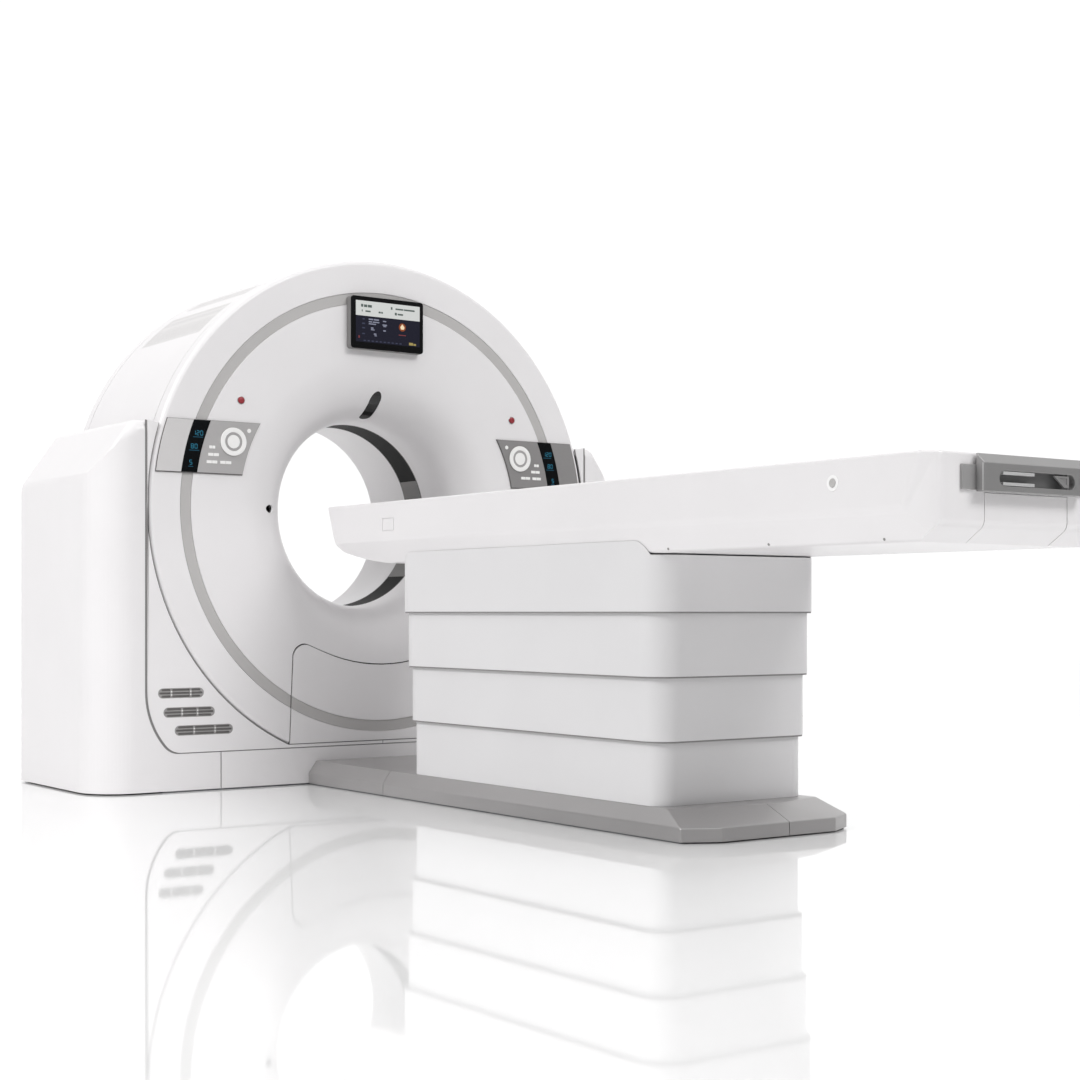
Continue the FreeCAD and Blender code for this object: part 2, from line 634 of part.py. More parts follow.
side_bulk = shoulder_block("side_bulk", "0", "0", "side_round")
side_hollow = shoulder_block("side_hollow", "cover_wall", "1", "side_round - cover_wall")
plinth_tongue = box(("-ledge_half - 1", "-front_depth", "0"),
                    ("-plinth_half", "-front_depth + cover_wall", "plinth_height + corner_large"))
insert_window = body("insert_window")
slab(insert_window, insert_corners("0", "-plinth_half + 1") + [("-plinth_half + 1", "peak_height + 1"),
     ("-insert_half", "peak_height + 1")], "-front_depth - 1", "-front_depth + cover_wall + 1")
arch_edge = rod("y", ("0", "-front_depth", "iso_height"), "arch_radius + fit", "rim_band + seam")
side = cut(fuse(cut(side_bulk, side_hollow), plinth_tongue), insert_window, arch_edge)
node("side_cover_left", side)
node("side_cover_right", mirrored(side))

lip_front = "-front_depth + cover_wall - lip_thick"
node("plinth_cover", fuse(
    box(("-plinth_half + seam", "-front_depth", "0"), ("plinth_half - seam", lip_front, "plinth_height")),
    box(("-plinth_half + fit", lip_front, "0"),
        ("plinth_half - fit", "-front_depth + cover_wall", "plinth_height"))))

roof_low = "(peak_height - 60)"
roof_lip = "arch_radius - cover_wall + lip_thick"
roof = cut(fuse(
    ring("y", ("0", "-front_depth + rim_band + seam", "iso_height"),
         "arch_radius", "arch_radius - cover_wall",
         "front_depth + rear_depth - 2 * rim_band - 2 * seam"),
    ring("y", ("0", "-front_depth + rim_band + fit", "iso_height"), roof_lip, "arch_radius - cover_wall",
         "front_depth + rear_depth - 2 * rim_band - 2 * fit")),
           box(("-half_width", "-front_depth", "0"), ("half_width", "rear_depth", roof_low)))
ROOF_VENTS = [(28.6, 33.4), (37.2, 48)]


def roof_patch(grow, outer, inner):
    """The roof vents' panels, or the recesses that they lie in."""
    patches = []
    for first, last in ROOF_VENTS:
        patch = body("roof_patch")
        corners = [(f"-({radius}) * sin({angle})", f"iso_height + ({radius}) * cos({angle})")
                   for radius, angle in ((outer, first), (outer, last), (inner, last), (inner, first))]
        corners[1] += (outer,)
        corners[3] += (f"-({inner})",)
        slab(patch, corners, f"-roof_vent_front - {grow}", f"roof_vent_rear - rim_band + {grow}")
        patches += [patch, mirrored(patch)]
    return fuse(*patches)


node("roof_cover", cut(roof, roof_patch("fit", "(arch_radius + 1)", "(arch_radius - roof_vent_thick)")))
roof_vents = roof_patch("0", "(arch_radius + 0.5)", "(arch_radius - roof_vent_thick)")
node("vent_grilles", fuse(*grilles, roof_vents))

rear = body("rear_cover")
rear_half = "(ledge_half - seam)"
spring = f"iso_height + sqrt(pow(arch_radius; 2) - pow({rear_half}; 2))"
slab(rear, [(f"-{rear_half}", "0"), (rear_half, "0"), (rear_half, spring), ("0", "iso_height + arch_radius",
     "arch_radius"), (f"-{rear_half}", spring, "arch_radius")], "rear_depth - rim_band", "rear_depth")
rounded(rear, "rim_round", lambda edge: lies_at("Y", "rear_depth")(edge)
        and edge.BoundBox.ZMin > number(spring) - 1)
slot(rear, [(f"-{rear_half} - 1", "-1"), (f"{rear_half} + 1", "-1"), (f"{rear_half} + 1", f"{spring} - 40"),
            (f"{rear_half} - 28", f"{spring} - 40"),
            ("0", "iso_height + arch_radius - cover_wall", "arch_radius - cover_wall"),
            (f"-{rear_half} + 28", f"{spring} - 40", "arch_radius - cover_wall"),
            (f"-{rear_half} - 1", f"{spring} - 40")], "rear_depth - rim_band - 1", "rear_depth - cover_wall")
slab(rear, [("-ledge_half + fit", "0"), ("ledge_half - fit", "0"), ("ledge_half - fit", "peak_height - 10"),
            ("-ledge_half + fit", "peak_height - 10")],
     "rear_depth - cover_wall", "rear_depth - cover_wall + lip_thick")
drawing = sketch(rear, "XZ_Plane", offset="-rear_depth + rim_band")
circle(drawing, "0", "iso_height", "tunnel_radius + tunnel_flare - tunnel_lap")
pocket(rear, drawing, "rim_band + 1")
node("rear_cover", rear)

# ---- gantry: bore ------------------------------------------------------------------------------------
node("bore_liner_front", ring("y", ("0", "-lip_depth", "iso_height"),
                              "bore_radius + liner_wall", "bore_radius",
                              "lip_depth - window_half"))
node("scan_window", ring("y", ("0", "-window_half", "iso_height"), "bore_radius + liner_wall / 2",
                         "bore_radius + 0.5", "2 * window_half"))
tunnel = body("bore_liner_rear")
flare_start = "rear_depth + tunnel_proud - tunnel_flare"
turned(tunnel, [
    ("window_half", "bore_radius"), (flare_start, "tunnel_radius"),
    ("rear_depth + tunnel_proud", "tunnel_radius + tunnel_flare", "tunnel_flare"),
    ("rear_depth + tunnel_proud - liner_wall", "tunnel_radius + tunnel_flare"),
    (flare_start, "tunnel_radius + liner_wall", "-(tunnel_flare - liner_wall)"),
    ("window_half", "bore_radius + liner_wall"),
])
node("bore_liner_rear", tunnel)


def on_dish(radius, ahead):
    """A point of a shell under the dish's round, straight above the bore."""
    return (f"-({ahead})", f"iso_height + bore_radius + {dish_round} - sqrt(pow({radius}; 2) - "
            f"pow({ahead} - lip_depth; 2))")


glass_face, glass_back = f"({dish_round} - 2)", f"({dish_round} - 6)"
top_glass = body("laser_window_top")
drawing = sketch(top_glass, "YZ_Plane")
outline(drawing, [on_dish(glass_face, "laser_front - laser_half"),
                  on_dish(glass_back, "laser_front - laser_half"),
                  on_dish(glass_back, "laser_rear + laser_half") + (glass_back,),
                  on_dish(glass_face, "laser_rear + laser_half"),
                  on_dish(glass_face, "laser_front - laser_half") + (f"-{glass_face}",)][1:])
pad(top_glass, drawing, "2 * (laser_half - fit)", both=True)
port_radius = "(laser_port - fit)"
port_half = f"(bore_radius + {dish_round} - sqrt(pow({dish_round}; 2) - pow(laser_side - lip_depth; 2)) + 3)"
ports = [rod("x", (port_half, "-laser_side", "iso_height"), port_radius, "cover_wall"),
         rod("x", (f"-{port_half} - cover_wall", "-laser_side", "iso_height"), port_radius, "cover_wall")]
node("laser_windows", fuse(top_glass, *ports))

# ---- gantry: controls on the front -------------------------------------------------------------------


def band(high, low, outer, inner):
    """A level-topped band between two circles about the bore, left of it."""
    def point(radius, height):
        return (f"-sqrt(pow({radius}; 2) - pow({height} - iso_height; 2))", height)
    return [point(outer, high), point(inner, high), point(inner, low) + (inner,), point(outer, low),
            point(outer, high) + (f"-({outer})",)][1:]


panel = body("control_panel_left")
face = "-front_depth - panel_proud"
slab(panel, band("panel_top", "panel_bottom", "panel_outer", "panel_inner"), face, "-front_depth")
slot(panel, band("panel_top + 1", "panel_bottom - 1", "stripe_outer", "stripe_inner"), face + " - 1",
     face + " + stripe_deep")
drawing = sketch(panel, "XZ_Plane", offset="front_depth + panel_proud")
circle(drawing, "-dial_across", "iso_height + dial_up", "dial_bore - fit")
pad(panel, drawing, "dial_proud - 2")
drawing = sketch(panel, "XZ_Plane", offset="front_depth + panel_proud + dial_proud")
circle(drawing, "-dial_across", "iso_height + dial_up", "dial_button + fit")
pocket(panel, drawing, "dial_proud + panel_proud - 1")
node("control_panel_left", panel)
node("control_panel_right", mirrored(panel))

readout = body("readout")
slab(readout, band("panel_top - 1", "panel_bottom + 1", "stripe_outer - fit", "stripe_inner + fit"), face,
     face + " + stripe_deep")
node("panel_readouts", fuse(readout, mirrored(readout)))

ring_key = ring("y", ("-dial_across", face + " - dial_proud", "iso_height + dial_up"),
                "dial_radius", "dial_bore",
                "dial_proud - ring_travel - fit")
node("ring_key_left", ring_key)
node("ring_key_right", mirrored(ring_key))
button = rod("y", ("-dial_across", face + " - dial_proud + 1", "iso_height + dial_up"), "dial_button",
             "dial_proud + panel_proud - dial_travel - 3")
node("centre_key_left", button)
node("centre_key_right", mirrored(button))

# bar keys: the left end from the centreline, the length and the height over the floor
BAR_KEYS = [(712, 24, 1207), (716, 42, 1181), (722, 42, 1155), (670, 44, 1155)]
keys = [box((f"-{far}", face + " - key_proud", f"{up} - key_height / 2"),
            (f"-{far} + {long}", face, f"{up} + key_height / 2"))
        for far, long, up in BAR_KEYS]
lamp = rod("y", ("-dial_across + lamp_set", face + " - key_proud", "iso_height + dial_up + lamp_rise"),
           "lamp_radius", "key_proud")
key_set = fuse(*keys, lamp)
node("panel_keys", fuse(key_set, mirrored(key_set)))

stop = rod("y", ("-stop_across", "-front_depth - stop_proud", "iso_height + stop_up"), "stop_radius",
           "stop_proud + cover_wall - stop_travel - 1")
node("stop_button_left", stop)
node("stop_button_right", mirrored(stop))

housing = body("screen_housing")
slab(housing, [("-screen_half", "screen_low"), ("screen_half", "screen_low"), ("screen_half", "screen_high"),
               ("-screen_half", "screen_high")], "-front_depth - screen_proud + glass_thick", "-front_depth")
rounded(housing, "screen_round", lambda edge: edge.BoundBox.YLength > 5)
node("screen_housing", housing)
glass = body("screen_glass")
slab(glass, [("-screen_half", "screen_low"), ("screen_half", "screen_low"), ("screen_half", "screen_high"),
             ("-screen_half", "screen_high")],
     "-front_depth - screen_proud", "-front_depth - screen_proud + glass_thick")
rounded(glass, "screen_round", lambda edge: edge.BoundBox.YLength > 1)
node("screen_glass", glass)


# ---- gantry: frame -----------------------------------------------------------------------------------
deck_front, deck_rear = "(-front_depth + cover_wall + fit)", "(rear_depth - cover_wall - fit)"
deck = box(("-rail_half", deck_front, "0"), ("rail_half", deck_rear, "deck_thick"))


def floor_rail(front):
    """One square tube of the floor frame, open at its ends."""
    outer = box(("-rail_half", front, "deck_thick"), ("rail_half", f"{front} + rail_width", "rail_height"))
    inner = box(("-rail_half", f"{front} + rail_wall", "deck_thick + rail_wall"),
                ("rail_half", f"{front} + rail_width - rail_wall", "rail_height - rail_wall"))
    return cut(outer, inner)


anchors = [rod("z", (across, along, "0"), "anchor_radius", "deck_thick")
           for across in ("-anchor_across", "anchor_across") for along in ("-anchor_near", "anchor_near")]
node("floor_frame", fuse(cut(deck, *anchors), floor_rail(f"({deck_front} + rail_set)"),
                         floor_rail(f"({deck_rear} - rail_set - rail_width)")))

stator_rear = "stator_front + stator_thick"
stator_ring = ring("y", ("0", "stator_front", "iso_height"), "stator_radius", "race_outer + fit",
                   "stator_thick")
foot = box(("-leg_half", "stator_front", "deck_thick"), ("leg_half", stator_rear, "leg_top"))
gussets = [box((f"{across} - 10", stator_rear, "rail_height"),
               (f"{across} + 10", f"{deck_rear} - rail_set", "leg_top"))
           for across in ("-420", "420")]
node("stator_frame", fuse(cut(fuse(stator_ring, foot), rod("y", ("0", "stator_front", "iso_height"),
                                                             "race_outer + fit", "stator_thick")), *gussets))

# ---- gantry: rotor -----------------------------------------------------------------------------------
disc = rod("y", ("0", "drum_front", "iso_height"), "drum_radius", "drum_thick")
hub = rod("y", ("0", "drum_front", "iso_height"), "hub_radius", "hub_rear - drum_front")
opening = rod("y", ("0", "drum_front", "iso_height"), "drum_inner", "hub_rear - drum_front")
node("rotor_drum", cut(fuse(disc, hub), opening))
node("bearing_inner", ring("y", ("0", "stator_front", "iso_height"),
                           "race_split - fit / 2", "hub_radius + fit",
                           "race_thick"))
node("bearing_outer", ring("y", ("0", "stator_front", "iso_height"), "race_outer", "race_split + fit / 2",
                           "race_thick"))
node("slip_ring", ring("y", ("0", "slip_front", "iso_height"), "slip_radius", "hub_radius + fit",
                       "hub_rear - slip_front - 10"))
node("xray_tube", rod("y", ("0", "drum_front - tube_length", "iso_height + tube_up"),
                      "tube_radius", "tube_length"))
node("collimator", box(("-60", "-60", "iso_height + drum_inner + 5"),
                       ("60", "drum_front", "iso_height + tube_up - tube_radius - fit")))
node("hv_generator", box(("-drum_radius + 60", "drum_front - 210", "iso_height - 120"),
                         ("-drum_inner - 85", "drum_front", "iso_height + 120")))
node("counterweight", box(("drum_inner + 85", "drum_front - 160", "iso_height - 120"),
                          ("drum_radius - 60", "drum_front", "iso_height + 120")))
detector = body("detector")
arc_ends = [(f"{sign}{radius} * sin(fan_half)", f"iso_height - {radius} * cos(fan_half)")
            for sign, radius in (("-", "detector_outer"), ("", "detector_outer"), ("", "detector_inner"),
                                 ("-", "detector_inner"))]
arc_ends[1] += ("detector_outer",)
arc_ends[3] += ("-detector_inner",)
slab(detector, arc_ends, "-detector_half", "drum_front")
node("detector", detector)

brush_holder = box(("slip_radius + fit", "slip_front + 5", "iso_height - 12"),
                   ("race_outer + 20", "hub_rear - 25", "iso_height + 12"))
brush_bracket = box(("race_outer + 15", stator_rear, "iso_height - 40"),
                    ("race_outer + 95", "hub_rear - 25", "iso_height + 40"))
node("brush_block", fuse(brush_holder, brush_bracket))

motor_front = "(drum_front + drum_thick + motor_gap)"
motor = rod("y", ("motor_across", motor_front, "motor_up"), "motor_radius", "motor_length")
pedestal = box(("motor_across - motor_foot", motor_front, "deck_thick"),
               ("motor_across + motor_foot", f"{deck_rear} - rail_set - rail_width - seam", "motor_up"))
node("drive_motor", fuse(motor, pedestal))
pulley = rod("y", ("motor_across", "drum_front", "motor_up"), "pulley_radius", "drum_thick")
shaft = rod("y", ("motor_across", "drum_front", "motor_up"), "shaft_radius", "drum_thick + motor_gap - fit")
node("drive_pulley", fuse(pulley, shaft))

belt_turn = "acos((drum_radius - pulley_radius) / sqrt(pow(motor_across; 2) + pow(iso_height - motor_up; 2)))"
belt_aim = "atan2(motor_up - iso_height; motor_across)"


def belt_loop(grow):
    """The belt's run round the rotor and the pulley, grown outwards."""
    big, small = f"(drum_radius + fit + {grow})", f"(pulley_radius + fit + {grow})"
    corners = []
    for third in range(4):
        angle = f"({belt_aim} + {belt_turn} + {third} * (360 deg - 2 * {belt_turn}) / 3)"
        corner_at = (f"{big} * cos{angle}", f"iso_height + {big} * sin{angle}")
        corners.append(corner_at + (big,) if third else corner_at)
    for sign in "-+":
        angle = f"({belt_aim} {sign} {belt_turn})"
        corners.append((f"motor_across + {small} * cos{angle}", f"motor_up + {small} * sin{angle}"))
    corners[-1] += (small,)
    return corners


belt = body("belt_outside")
slab(belt, belt_loop("belt_thick"), "drum_front + 4", "drum_front + 4 + belt_width")
slot(belt, belt_loop("0"), "drum_front + 3", "drum_front + 5 + belt_width")
node("drive_belt", belt)

# ---- table: plinth and telescopic column -------------------------------------------------------------


def plinth_plan(side, end, corner_wide, corner_long):
    """The plan of the plinth, which butts against the gantry and has two facets at its far end."""
    return [(f"-{side}", "-front_depth"), (f"-{side}", f"-{end} + {corner_long}"),
            (f"-{side} + {corner_wide}", f"-{end}"), (f"{side} - {corner_wide}", f"-{end}"),
            (side, f"-{end} + {corner_long}"), (side, "-front_depth")]


plinth = body("plinth_bulk")
low_plan = sketch(plinth, "XY_Plane")
outline(low_plan, plinth_plan("base_half", "base_front", "base_corner", "base_corner_deep"))
pad(plinth, low_plan, "base_upright")
slope_foot = sketch(plinth, "XY_Plane", offset="base_upright")
outline(slope_foot, plinth_plan("base_half", "base_front", "base_corner", "base_corner_deep"))
slope_top = sketch(plinth, "XY_Plane", offset="base_height")
outline(slope_top, plinth_plan("(base_half - base_side_slope)", "(base_front - base_end_slope)",
                               "base_top_corner", "base_corner_deep"))
slope = plinth.newObject("PartDesign::AdditiveLoft", "Slope")
slope.Profile = slope_foot
slope.Sections = [slope_top]
slope.Ruled = True
doc.recompute()
mouth = box(("-tier_half + 30", "-tier_far + 30", "0"), ("tier_half - 30", "-tier_near - 30", "base_height"))
under = box(("-base_half + base_wall", "-base_front + base_corner_deep + base_wall", "0"),
            ("base_half - base_wall", "-front_depth - base_wall", "base_upright - base_wall"))
# the cover is in three pieces: one beside the gantry and two that meet at the far end
SEAM_NEAR, SEAM_ACROSS, SEAM_WIDE = "870", "35", "0.8"
seams = [box(("-base_half", f"-{SEAM_NEAR}", "0"),
             ("base_half", f"-{SEAM_NEAR} + {SEAM_WIDE}", "base_height")),
         box((SEAM_ACROSS, "-base_front", "0"),
             (f"{SEAM_ACROSS} + {SEAM_WIDE}", "-tier_far + 30", "base_height"))]
node("table_plinth", cut(plinth, mouth, under, *seams))

plate_edge = "(base_wall + fit)"
lift_plate = box((f"-base_half + {plate_edge}", f"-base_front + base_corner_deep + {plate_edge}", "0"),
                 (f"base_half - {plate_edge}", f"-front_depth - {plate_edge}", "stage_plate"))
table_anchors = [rod("z", (across, f"-{along}", "0"), "anchor_radius", "stage_plate")
                 for across in ("-base_anchor_across", "base_anchor_across")
                 for along in ("base_anchor_near", "base_anchor_far")]
COLUMNS = ("-stage_near", "-stage_far")


def stage(inset, low, high):
    """One stage of both lift columns, as square tubes."""
    half, inner = f"(stage_half - {inset})", f"(stage_half - {inset} - stage_wall)"
    tubes = [cut(box((f"-{half}", f"{at} - {half}", low), (half, f"{at} + {half}", high)),
                 box((f"-{inner}", f"{at} - {inner}", low), (inner, f"{at} + {inner}", high)))
             for at in COLUMNS]
    return fuse(*tubes)


stage_lift = "lift_travel / 2"
node("lift_base", fuse(cut(lift_plate, *table_anchors),
                       stage("0", "stage_plate", "stage_plate + stage_height")))
node("lift_middle", stage("(stage_wall + fit)", f"stage_plate + {stage_lift} + 1",
                          f"stage_plate + {stage_lift} + stage_height"))
node("lift_inner", stage("2 * (stage_wall + fit)", "stage_plate + lift_travel + 2",
                         "table_under + table_wall"))


def tier_plan(part, height, grow):
    """A sketch of a skirt's plan: the lowest skirt's, grown on every side."""
    drawing = sketch(part, "XY_Plane", offset=height)
    half, near, far = f"(tier_half + {grow})", f"(tier_near - {grow})", f"(tier_far + {grow})"
    bend = f"(tier_corner + {grow})"
    outline(drawing, [
        (f"-{half}", f"-{far} + {bend}"), (f"-{half} + {bend}", f"-{far}", bend),
        (f"{half} - {bend}", f"-{far}"), (half, f"-{far} + {bend}", bend),
        (half, f"-{near} - {bend}"), (f"{half} - {bend}", f"-{near}", bend),
        (f"-{half} + {bend}", f"-{near}"), (f"-{half}", f"-{near} - {bend}", bend),
    ])
    return drawing


def tier(label, steps):
    """A skirt of the column: a shell with a lip at its foot that runs along the skirt below."""
    skirt = body(label)
    grow, low = f"({steps} * tier_step)", f"(base_height + {steps} * tier_rise)"
    height = "tier_rise + tier_overlap" if steps < 3 else "table_waist - base_height - 3 * tier_rise"
    pad(skirt, tier_plan(skirt, low, grow), height)
    inside = f"({grow} - tier_wall)"
    lip = f"({grow} - tier_step + fit)" if steps else inside
    pocket(skirt, tier_plan(skirt, f"{low} + tier_lip", inside), height, reverse=True)
    pocket(skirt, tier_plan(skirt, low, lip), "tier_lip", reverse=True)
    return skirt


for steps in range(3):
    node(f"column_skirt_{4 - steps}", tier(f"column_skirt_{4 - steps}", steps))

# ---- table: body -------------------------------------------------------------------------------------


def table_bulk(label, inset, top):
    """The bulk of the table body, or of the hollow in it: an upswept nose and sides that slope in below."""
    bulk = body(label)
    under_z, waist, run = f"(table_under + {inset})", "table_waist", "nose_run"
    rise = f"(nose_foot_height + {inset} - {under_z})"
    sweep = f"((pow(nose_run - nose_foot; 2) + pow({rise}; 2)) / (2 * {rise}))"
    drawing = sketch(bulk, "YZ_Plane")
    outline(drawing, [
        (f"-(nose_top + {inset})", top), (f"-(nose_low + {inset})", "nose_bend"),
        ("-nose_foot", f"nose_foot_height + {inset}", f"-(nose_round - {inset})"),
        (f"-{run}", under_z, f"-{sweep}"), ("-foot_rake", under_z),
        (f"-(foot_end - {inset})", "foot_bend"), (f"-(foot_end - {inset})", top),
    ])
    half = f"(table_half - {inset})"
    pad(bulk, drawing, f"2 * {half}", both=True)
    low_half = f"(under_half - {inset})"
    for sign in ("-", ""):
        slot(bulk, [(f"{sign}{half}", waist), (f"{sign}{low_half}", under_z),
                    (f"{sign}{low_half}", f"{under_z} - 5"), (f"{sign}({half} + 5)", f"{under_z} - 5"),
                    (f"{sign}({half} + 5)", waist)][::1 if sign else -1], "-foot_end - 1", "-nose_top + 60")
        drawing = sketch(bulk, "XY_Plane", offset=top)
        outline(drawing, [(f"{sign}{half}", "-foot_side"),
                          (f"{sign}(end_half - {inset})", f"-foot_end + {inset}"),
                          (f"{sign}(end_half - {inset})", "-foot_end - 5"),
                          (f"{sign}({half} + 5)", "-foot_end - 5"),
                          (f"{sign}({half} + 5)", "-foot_side")][::-1 if sign else 1])
        pocket(bulk, drawing, f"{top} - table_under")
    return bulk


bulk = table_bulk("table_outside", "0", "table_top")
hollow = table_bulk("table_inside", "table_wall", "(table_top - rail_cap)")
well = box(("-well_half", "-cradle_foot - 12", "cradle_top - cradle_sag - cradle_thick - 8"),
           ("well_half", "-nose_top + 1", "table_top + 1"))
column_holes = [box(("-stage_half", f"{at} - stage_half", "table_under - 1"),
                    ("stage_half", f"{at} + stage_half", "table_under + table_wall + 1")) for at in COLUMNS]
walls = cut(bulk, hollow, well)
button_place = ("-table_half - 1", "-side_button_at", "side_button_up")
button_hole = rod("x", button_place, "side_button_radius + fit", "table_wall + 2")
foot_window = box(("-panel_half", "-foot_end - 1", "table_under - 1"),
                  ("panel_half", "-foot_rake + 60", "handle_low"))
bezel = cut(rod("x", ("-table_half - 2", "-side_button_at", "side_button_up"), "side_button_radius + 7", "2"),
            rod("x", ("-table_half - 2", "-side_button_at", "side_button_up"),
                "side_button_radius + fit", "2"))
node("table_shell", fuse(cut(walls, button_hole, foot_window, *column_holes), bezel))
foot_cut = box(("-panel_half + 0.8", "-foot_end - 1", "table_under - 1"),
               ("panel_half - 0.8", "-foot_rake + 59.2", "handle_low - 0.8"))
node("foot_panel", common(cut(table_bulk("foot_outside", "0", "table_top"),
                              table_bulk("foot_inside", "table_wall", "(table_top - rail_cap)")), foot_cut))

top_skirt = tier("top_skirt", 3)
node("column_skirt_1", cut(top_skirt, table_bulk("skirt_trim", "-fit", "table_top")))

beam_low = "(table_under + table_wall)"
beam_top = f"({beam_low} + beam_height)"
cradle_low = "(cradle_top - cradle_sag - cradle_thick)"
beams = [box((f"{across} - beam_half", "-cradle_foot", beam_low),
             (f"{across} + beam_half", "-nose_run", beam_top))
         for across in ("-guide_across", "guide_across")]
crossings = [box(("-guide_across", f"{at} - stage_half", beam_low),
                 ("guide_across", f"{at} + stage_half", beam_top)) for at in COLUMNS]
guides = [box((f"{across} - guide_half", "-cradle_foot", beam_top),
              (f"{across} + guide_half", "-guide_end", "guide_top"))
          for across in ("-guide_across", "guide_across")]
nose_tie = box(("-guide_across", "-guide_end - rest_long", beam_top),
               ("guide_across", "-guide_end", "guide_top"))
nose_rest = box(("-rest_half", "-guide_end - rest_long", "guide_top"),
                ("rest_half", "-guide_end", f"{cradle_low} - fit"))
node("table_frame", fuse(*beams, *crossings, *guides, nose_tie, nose_rest))

# ---- table: cradle and its drive ---------------------------------------------------------------------
cradle = body("cradle_section")
bowl = "((pow(cradle_half; 2) + pow(cradle_sag; 2)) / (2 * cradle_sag))"
back = f"({bowl} + cradle_thick)"
edge_low = f"cradle_top - cradle_sag + {bowl} - sqrt(pow({back}; 2) - pow(cradle_half; 2))"
slab(cradle, [("-cradle_half", "cradle_top"), ("0", "cradle_top - cradle_sag", bowl),
              ("cradle_half", "cradle_top", bowl), ("cradle_half", edge_low), ("0", cradle_low, f"-{back}"),
              ("-cradle_half", edge_low, f"-{back}")], "-cradle_foot", "-cradle_head")
cradle_plan = body("cradle_plan")
drawing = sketch(cradle_plan, "XY_Plane", offset=cradle_low)
tip = "cradle_tip"
outline(drawing, [
    ("-cradle_half", f"-cradle_foot + {tip}"), (f"-cradle_half + {tip}", "-cradle_foot", tip),
    (f"cradle_half - {tip}", "-cradle_foot"), ("cradle_half", f"-cradle_foot + {tip}", tip),
    ("cradle_half", f"-cradle_head - {tip}"), (f"cradle_half - {tip}", "-cradle_head", tip),
    (f"-cradle_half + {tip}", "-cradle_head"), ("-cradle_half", f"-cradle_head - {tip}", tip),
])
pad(cradle_plan, drawing, "cradle_sag + cradle_thick")
node("cradle", common(cradle, cradle_plan))

guide_depth = (f"cradle_top - cradle_sag + {bowl} - sqrt(pow({back}; 2) - pow(guide_across - guide_half; 2))")
runners = [box((f"{across} - guide_half", "-cradle_foot + 10", "guide_top + fit"),
               (f"{across} + guide_half", "-cradle_foot + carriage_length", f"{guide_depth} + 4"))
           for across in ("-guide_across", "guide_across")]
tie = box(("-guide_across", "-cradle_foot + 150", "guide_top + fit"),
          ("guide_across", "-cradle_foot + 230", f"{cradle_low} - fit"))
cradle_round = rod("y", ("0", "-cradle_foot", f"cradle_top - cradle_sag + {bowl}"), f"{back} + fit",
                   "cradle_foot")
node("cradle_carriage", cut(fuse(*runners, tie), cradle_round))
node("cradle_drive", rod("x", ("-80", "-cradle_foot + 420", f"{beam_low} + 42"), "42", "160"))

# ---- table: handle and buttons -----------------------------------------------------------------------
handle = body("handle")
drawing = sketch(handle, "YZ_Plane")
handle_face = "-foot_end - handle_proud"
outline(drawing, [(handle_face, "handle_low"), ("-foot_end - bracket_thick", "handle_low"),
                  ("-foot_end - bracket_thick", "table_top - 2"),
                  ("-foot_end - bracket_thick - bracket_set", "table_top - 2"),
                  (handle_face, "handle_high")])
pad(handle, drawing, "2 * handle_half", both=True)
slot(handle, stadium("-grip_left", "grip_left", "((grip_low + grip_high) / 2)",
                     "((grip_high - grip_low) / 2)"),
     f"{handle_face} - 1", f"{handle_face} + grip_deep")
bracket = box(("-handle_back", "-foot_end - bracket_thick", "handle_low + bracket_set"),
              ("handle_back", "-foot_end", "handle_high - bracket_set"))
pin_at = ("lever_root - lever_thick / 2", f"{handle_face} + lever_back + lever_thick / 2")
pin_bore = rod("z", (*pin_at, "grip_low - pin_seat - fit"), "pin_radius + fit",
               "grip_high - grip_low + 2 * (pin_seat + fit)")
node("handle_block", cut(fuse(handle, bracket), pin_bore))
lever = box(("lever_tip", f"{handle_face} + lever_back", "grip_low + 2 * fit"),
            ("lever_root", f"{handle_face} + lever_back + lever_thick", "grip_high - 2 * fit"))
pin = rod("z", (*pin_at, "grip_low - pin_seat"), "pin_radius", "grip_high - grip_low + 2 * pin_seat")
node("release_lever", fuse(lever, pin))
node("side_button", rod("x", ("-table_half - side_button_travel", "-side_button_at", "side_button_up"),
                        "side_button_radius", "table_wall + side_button_travel - 2"))


# ---- what is handed over -----------------------------------------------------------------------------
doc.recompute()
broken = [f"{item.Label}: {item.State}" for item in doc.Objects if {"Invalid", "Error"} & set(item.State)]
broken += [f"{piece.Label}: no valid solid" for piece in NODES
           if piece.Shape.isNull() or not piece.Shape.isValid() or not piece.Shape.Solids]
if broken:
    raise RuntimeError("; ".join(broken))
os.makedirs("parts", exist_ok=True)
for piece in NODES:
    piece.Shape.exportStep(f"parts/{piece.Label}.step")
print(len(NODES), "pieces written")
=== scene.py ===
"""A computed-tomography scanner: its covers, controls, table and finishes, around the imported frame."""

from math import atan2, ceil, copysign, cos, radians, sin, sqrt, tau

